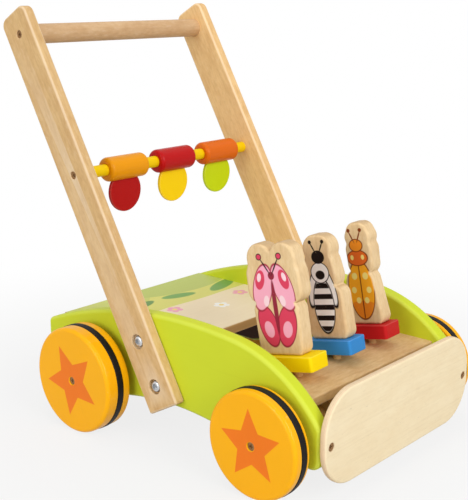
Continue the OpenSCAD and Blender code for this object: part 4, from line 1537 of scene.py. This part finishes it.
class WALKER_OT_stage(bpy.types.Operator):
    """Set up the pale floor, the soft studio light and the camera"""

    bl_idname = "walker.stage"
    bl_label = "Stage"

    CAMERA_AT = (-0.7676, -0.6726, 0.4365)
    AZIMUTH, ELEVATION = -48.474, 14.354
    FOCAL_LENGTH, SENSOR = 73.13, 36.0
    SKY = 0.5
    # Share of plain white in the floor near the walker, and the distances between which it grows to 1
    GLOW = 0.82
    GLOW_START, GLOW_END = 0.2, 0.7
    FLOOR_REACH, FLOOR_DROP = 6.0, 0.0004
    FLOOR_TONES = (srgb(196, 195, 193), srgb(201, 200, 198))
    FLOOR_CLOUD, FLOOR_GRIT = Speckle(3.0, 2.0), Speckle(40.0)
    # Each lamp: its name, place, width and power
    LAMPS = (
        ("key", (-0.6, -2.6, 1.6), 2.0, 50.0),
        ("side", (-6.0, 0.0, 2.0), 4.2, 152.0),
        ("top", (0.2, 0.3, 1.9), 1.4, 5.5),
    )
    AIM = (0.0, 0.0, 0.16)

    def execute(self, context):
        self.floor()
        self.sky()
        for name, at, width, power in self.LAMPS:
            self.lamp(name, Vector(at), width, power)
        self.camera()
        context.scene.view_settings.view_transform = "Standard"
        return {"FINISHED"}

    def floor(self):
        mesh = bpy.data.meshes.new("floor")
        far, low = self.FLOOR_REACH, -self.FLOOR_DROP
        corners = [(-far, -far, low), (far, -far, low), (far, far, low), (-far, far, low)]
        mesh.from_pydata(corners, [], [(0, 1, 2, 3)])
        made = Finish("pale floor")
        at = made.spot()
        made.base(made.blend(made.speckle(at, self.FLOOR_CLOUD), *self.FLOOR_TONES))
        made.rough(0.85 + made.speckle(at, self.FLOOR_GRIT) * 0.1)
        x, y, _ = made.parts(at)
        far_off = made.soft((x * x + y * y) ** 0.5, self.GLOW_START, self.GLOW_END)
        glowing = (self.GLOW + far_off * (1 - self.GLOW)) * made.shown()
        glow = made.node("ShaderNodeEmission", sockets={"Color": WHITE, "Strength": 1.0})
        shader = Wire(made, made.shader.outputs[0])
        both = made.node("ShaderNodeMixShader", sockets={0: glowing, 1: shader, 2: glow})
        made.feed(made.tree.nodes["Material Output"].inputs["Surface"], both)
        coat(mesh, made.material)
        placed("floor", mesh)

    def sky(self):
        world = bpy.data.worlds.new("studio")
        bpy.context.scene.world = world
        world.use_nodes = True
        made = Shading(world.node_tree)
        light, backdrop = (
            made.node("ShaderNodeBackground", sockets={"Color": WHITE, "Strength": strength})
            for strength in (self.SKY, 1.0)
        )
        both = made.node("ShaderNodeMixShader", sockets={0: made.shown(), 1: light, 2: backdrop})
        made.feed(made.tree.nodes["World Output"].inputs["Surface"], both)

    def lamp(self, name, at, width, power):
        lamp = bpy.data.lights.new(name, "AREA")
        lamp.shape = "DISK"
        lamp.size = width
        lamp.energy = power
        thing = placed(name, lamp)
        thing.location = at
        thing.rotation_euler = (Vector(self.AIM) - at).to_track_quat("-Z", "Y").to_euler()

    def camera(self):
        lens = bpy.data.cameras.new("camera")
        lens.sensor_fit = "AUTO"
        lens.sensor_width = self.SENSOR
        lens.lens = self.FOCAL_LENGTH
        thing = placed("camera", lens)
        a, e = math.radians(self.AZIMUTH), math.radians(self.ELEVATION)
        back = Vector((math.sin(a) * math.cos(e), -math.cos(a) * math.cos(e), math.sin(e)))
        thing.location = self.CAMERA_AT
        thing.rotation_euler = (-back).to_track_quat("-Z", "Y").to_euler()
        bpy.context.scene.camera = thing


OPERATORS = (
    WALKER_OT_side_panels,
    WALKER_OT_posts,
    WALKER_OT_bars,
    WALKER_OT_beads,
    WALKER_OT_decks,
    WALKER_OT_front_board,
    WALKER_OT_wheels,
    WALKER_OT_figures,
    WALKER_OT_fasteners,
    WALKER_OT_inner_parts,
    WALKER_OT_stage,
)


class WALKER_PT_looks(bpy.types.Panel):
    """Sizes, colours and makers of the walker's pieces"""

    bl_idname = "WALKER_PT_looks"
    bl_label = "Push walker"
    bl_space_type = "VIEW_3D"
    bl_region_type = "UI"
    bl_category = "Walker"

    def draw(self, context):
        walker = context.scene.walker
        for group in ("panel", "post", "wheel", "figure", "colour"):
            box = self.layout.box()
            box.label(text=group.title())
            for key in getattr(walker, group).__annotations__:
                box.prop(getattr(walker, group), key)
        for operator in OPERATORS:
            self.layout.operator(operator.bl_idname)


CLASSES = (
    WalkerPanelSizes,
    WalkerPostSizes,
    WalkerWheelSizes,
    WalkerFigureSizes,
    WalkerColours,
    WalkerLooks,
    *OPERATORS,
    WALKER_PT_looks,
)


def register():
    for cls in CLASSES:
        bpy.utils.register_class(cls)
    bpy.types.Scene.walker = PointerProperty(type=WalkerLooks)


def unregister():
    del bpy.types.Scene.walker
    for cls in reversed(CLASSES):
        bpy.utils.unregister_class(cls)


def main():
    register()
    bpy.ops.walker.side_panels()
    bpy.ops.walker.posts()
    bpy.ops.walker.bars()
    bpy.ops.walker.beads()
    bpy.ops.walker.decks()
    bpy.ops.walker.front_board()
    bpy.ops.walker.wheels()
    bpy.ops.walker.figures()
    bpy.ops.walker.fasteners()
    bpy.ops.walker.inner_parts()
    bpy.ops.walker.stage()


if __name__ == "__main__":
    main()
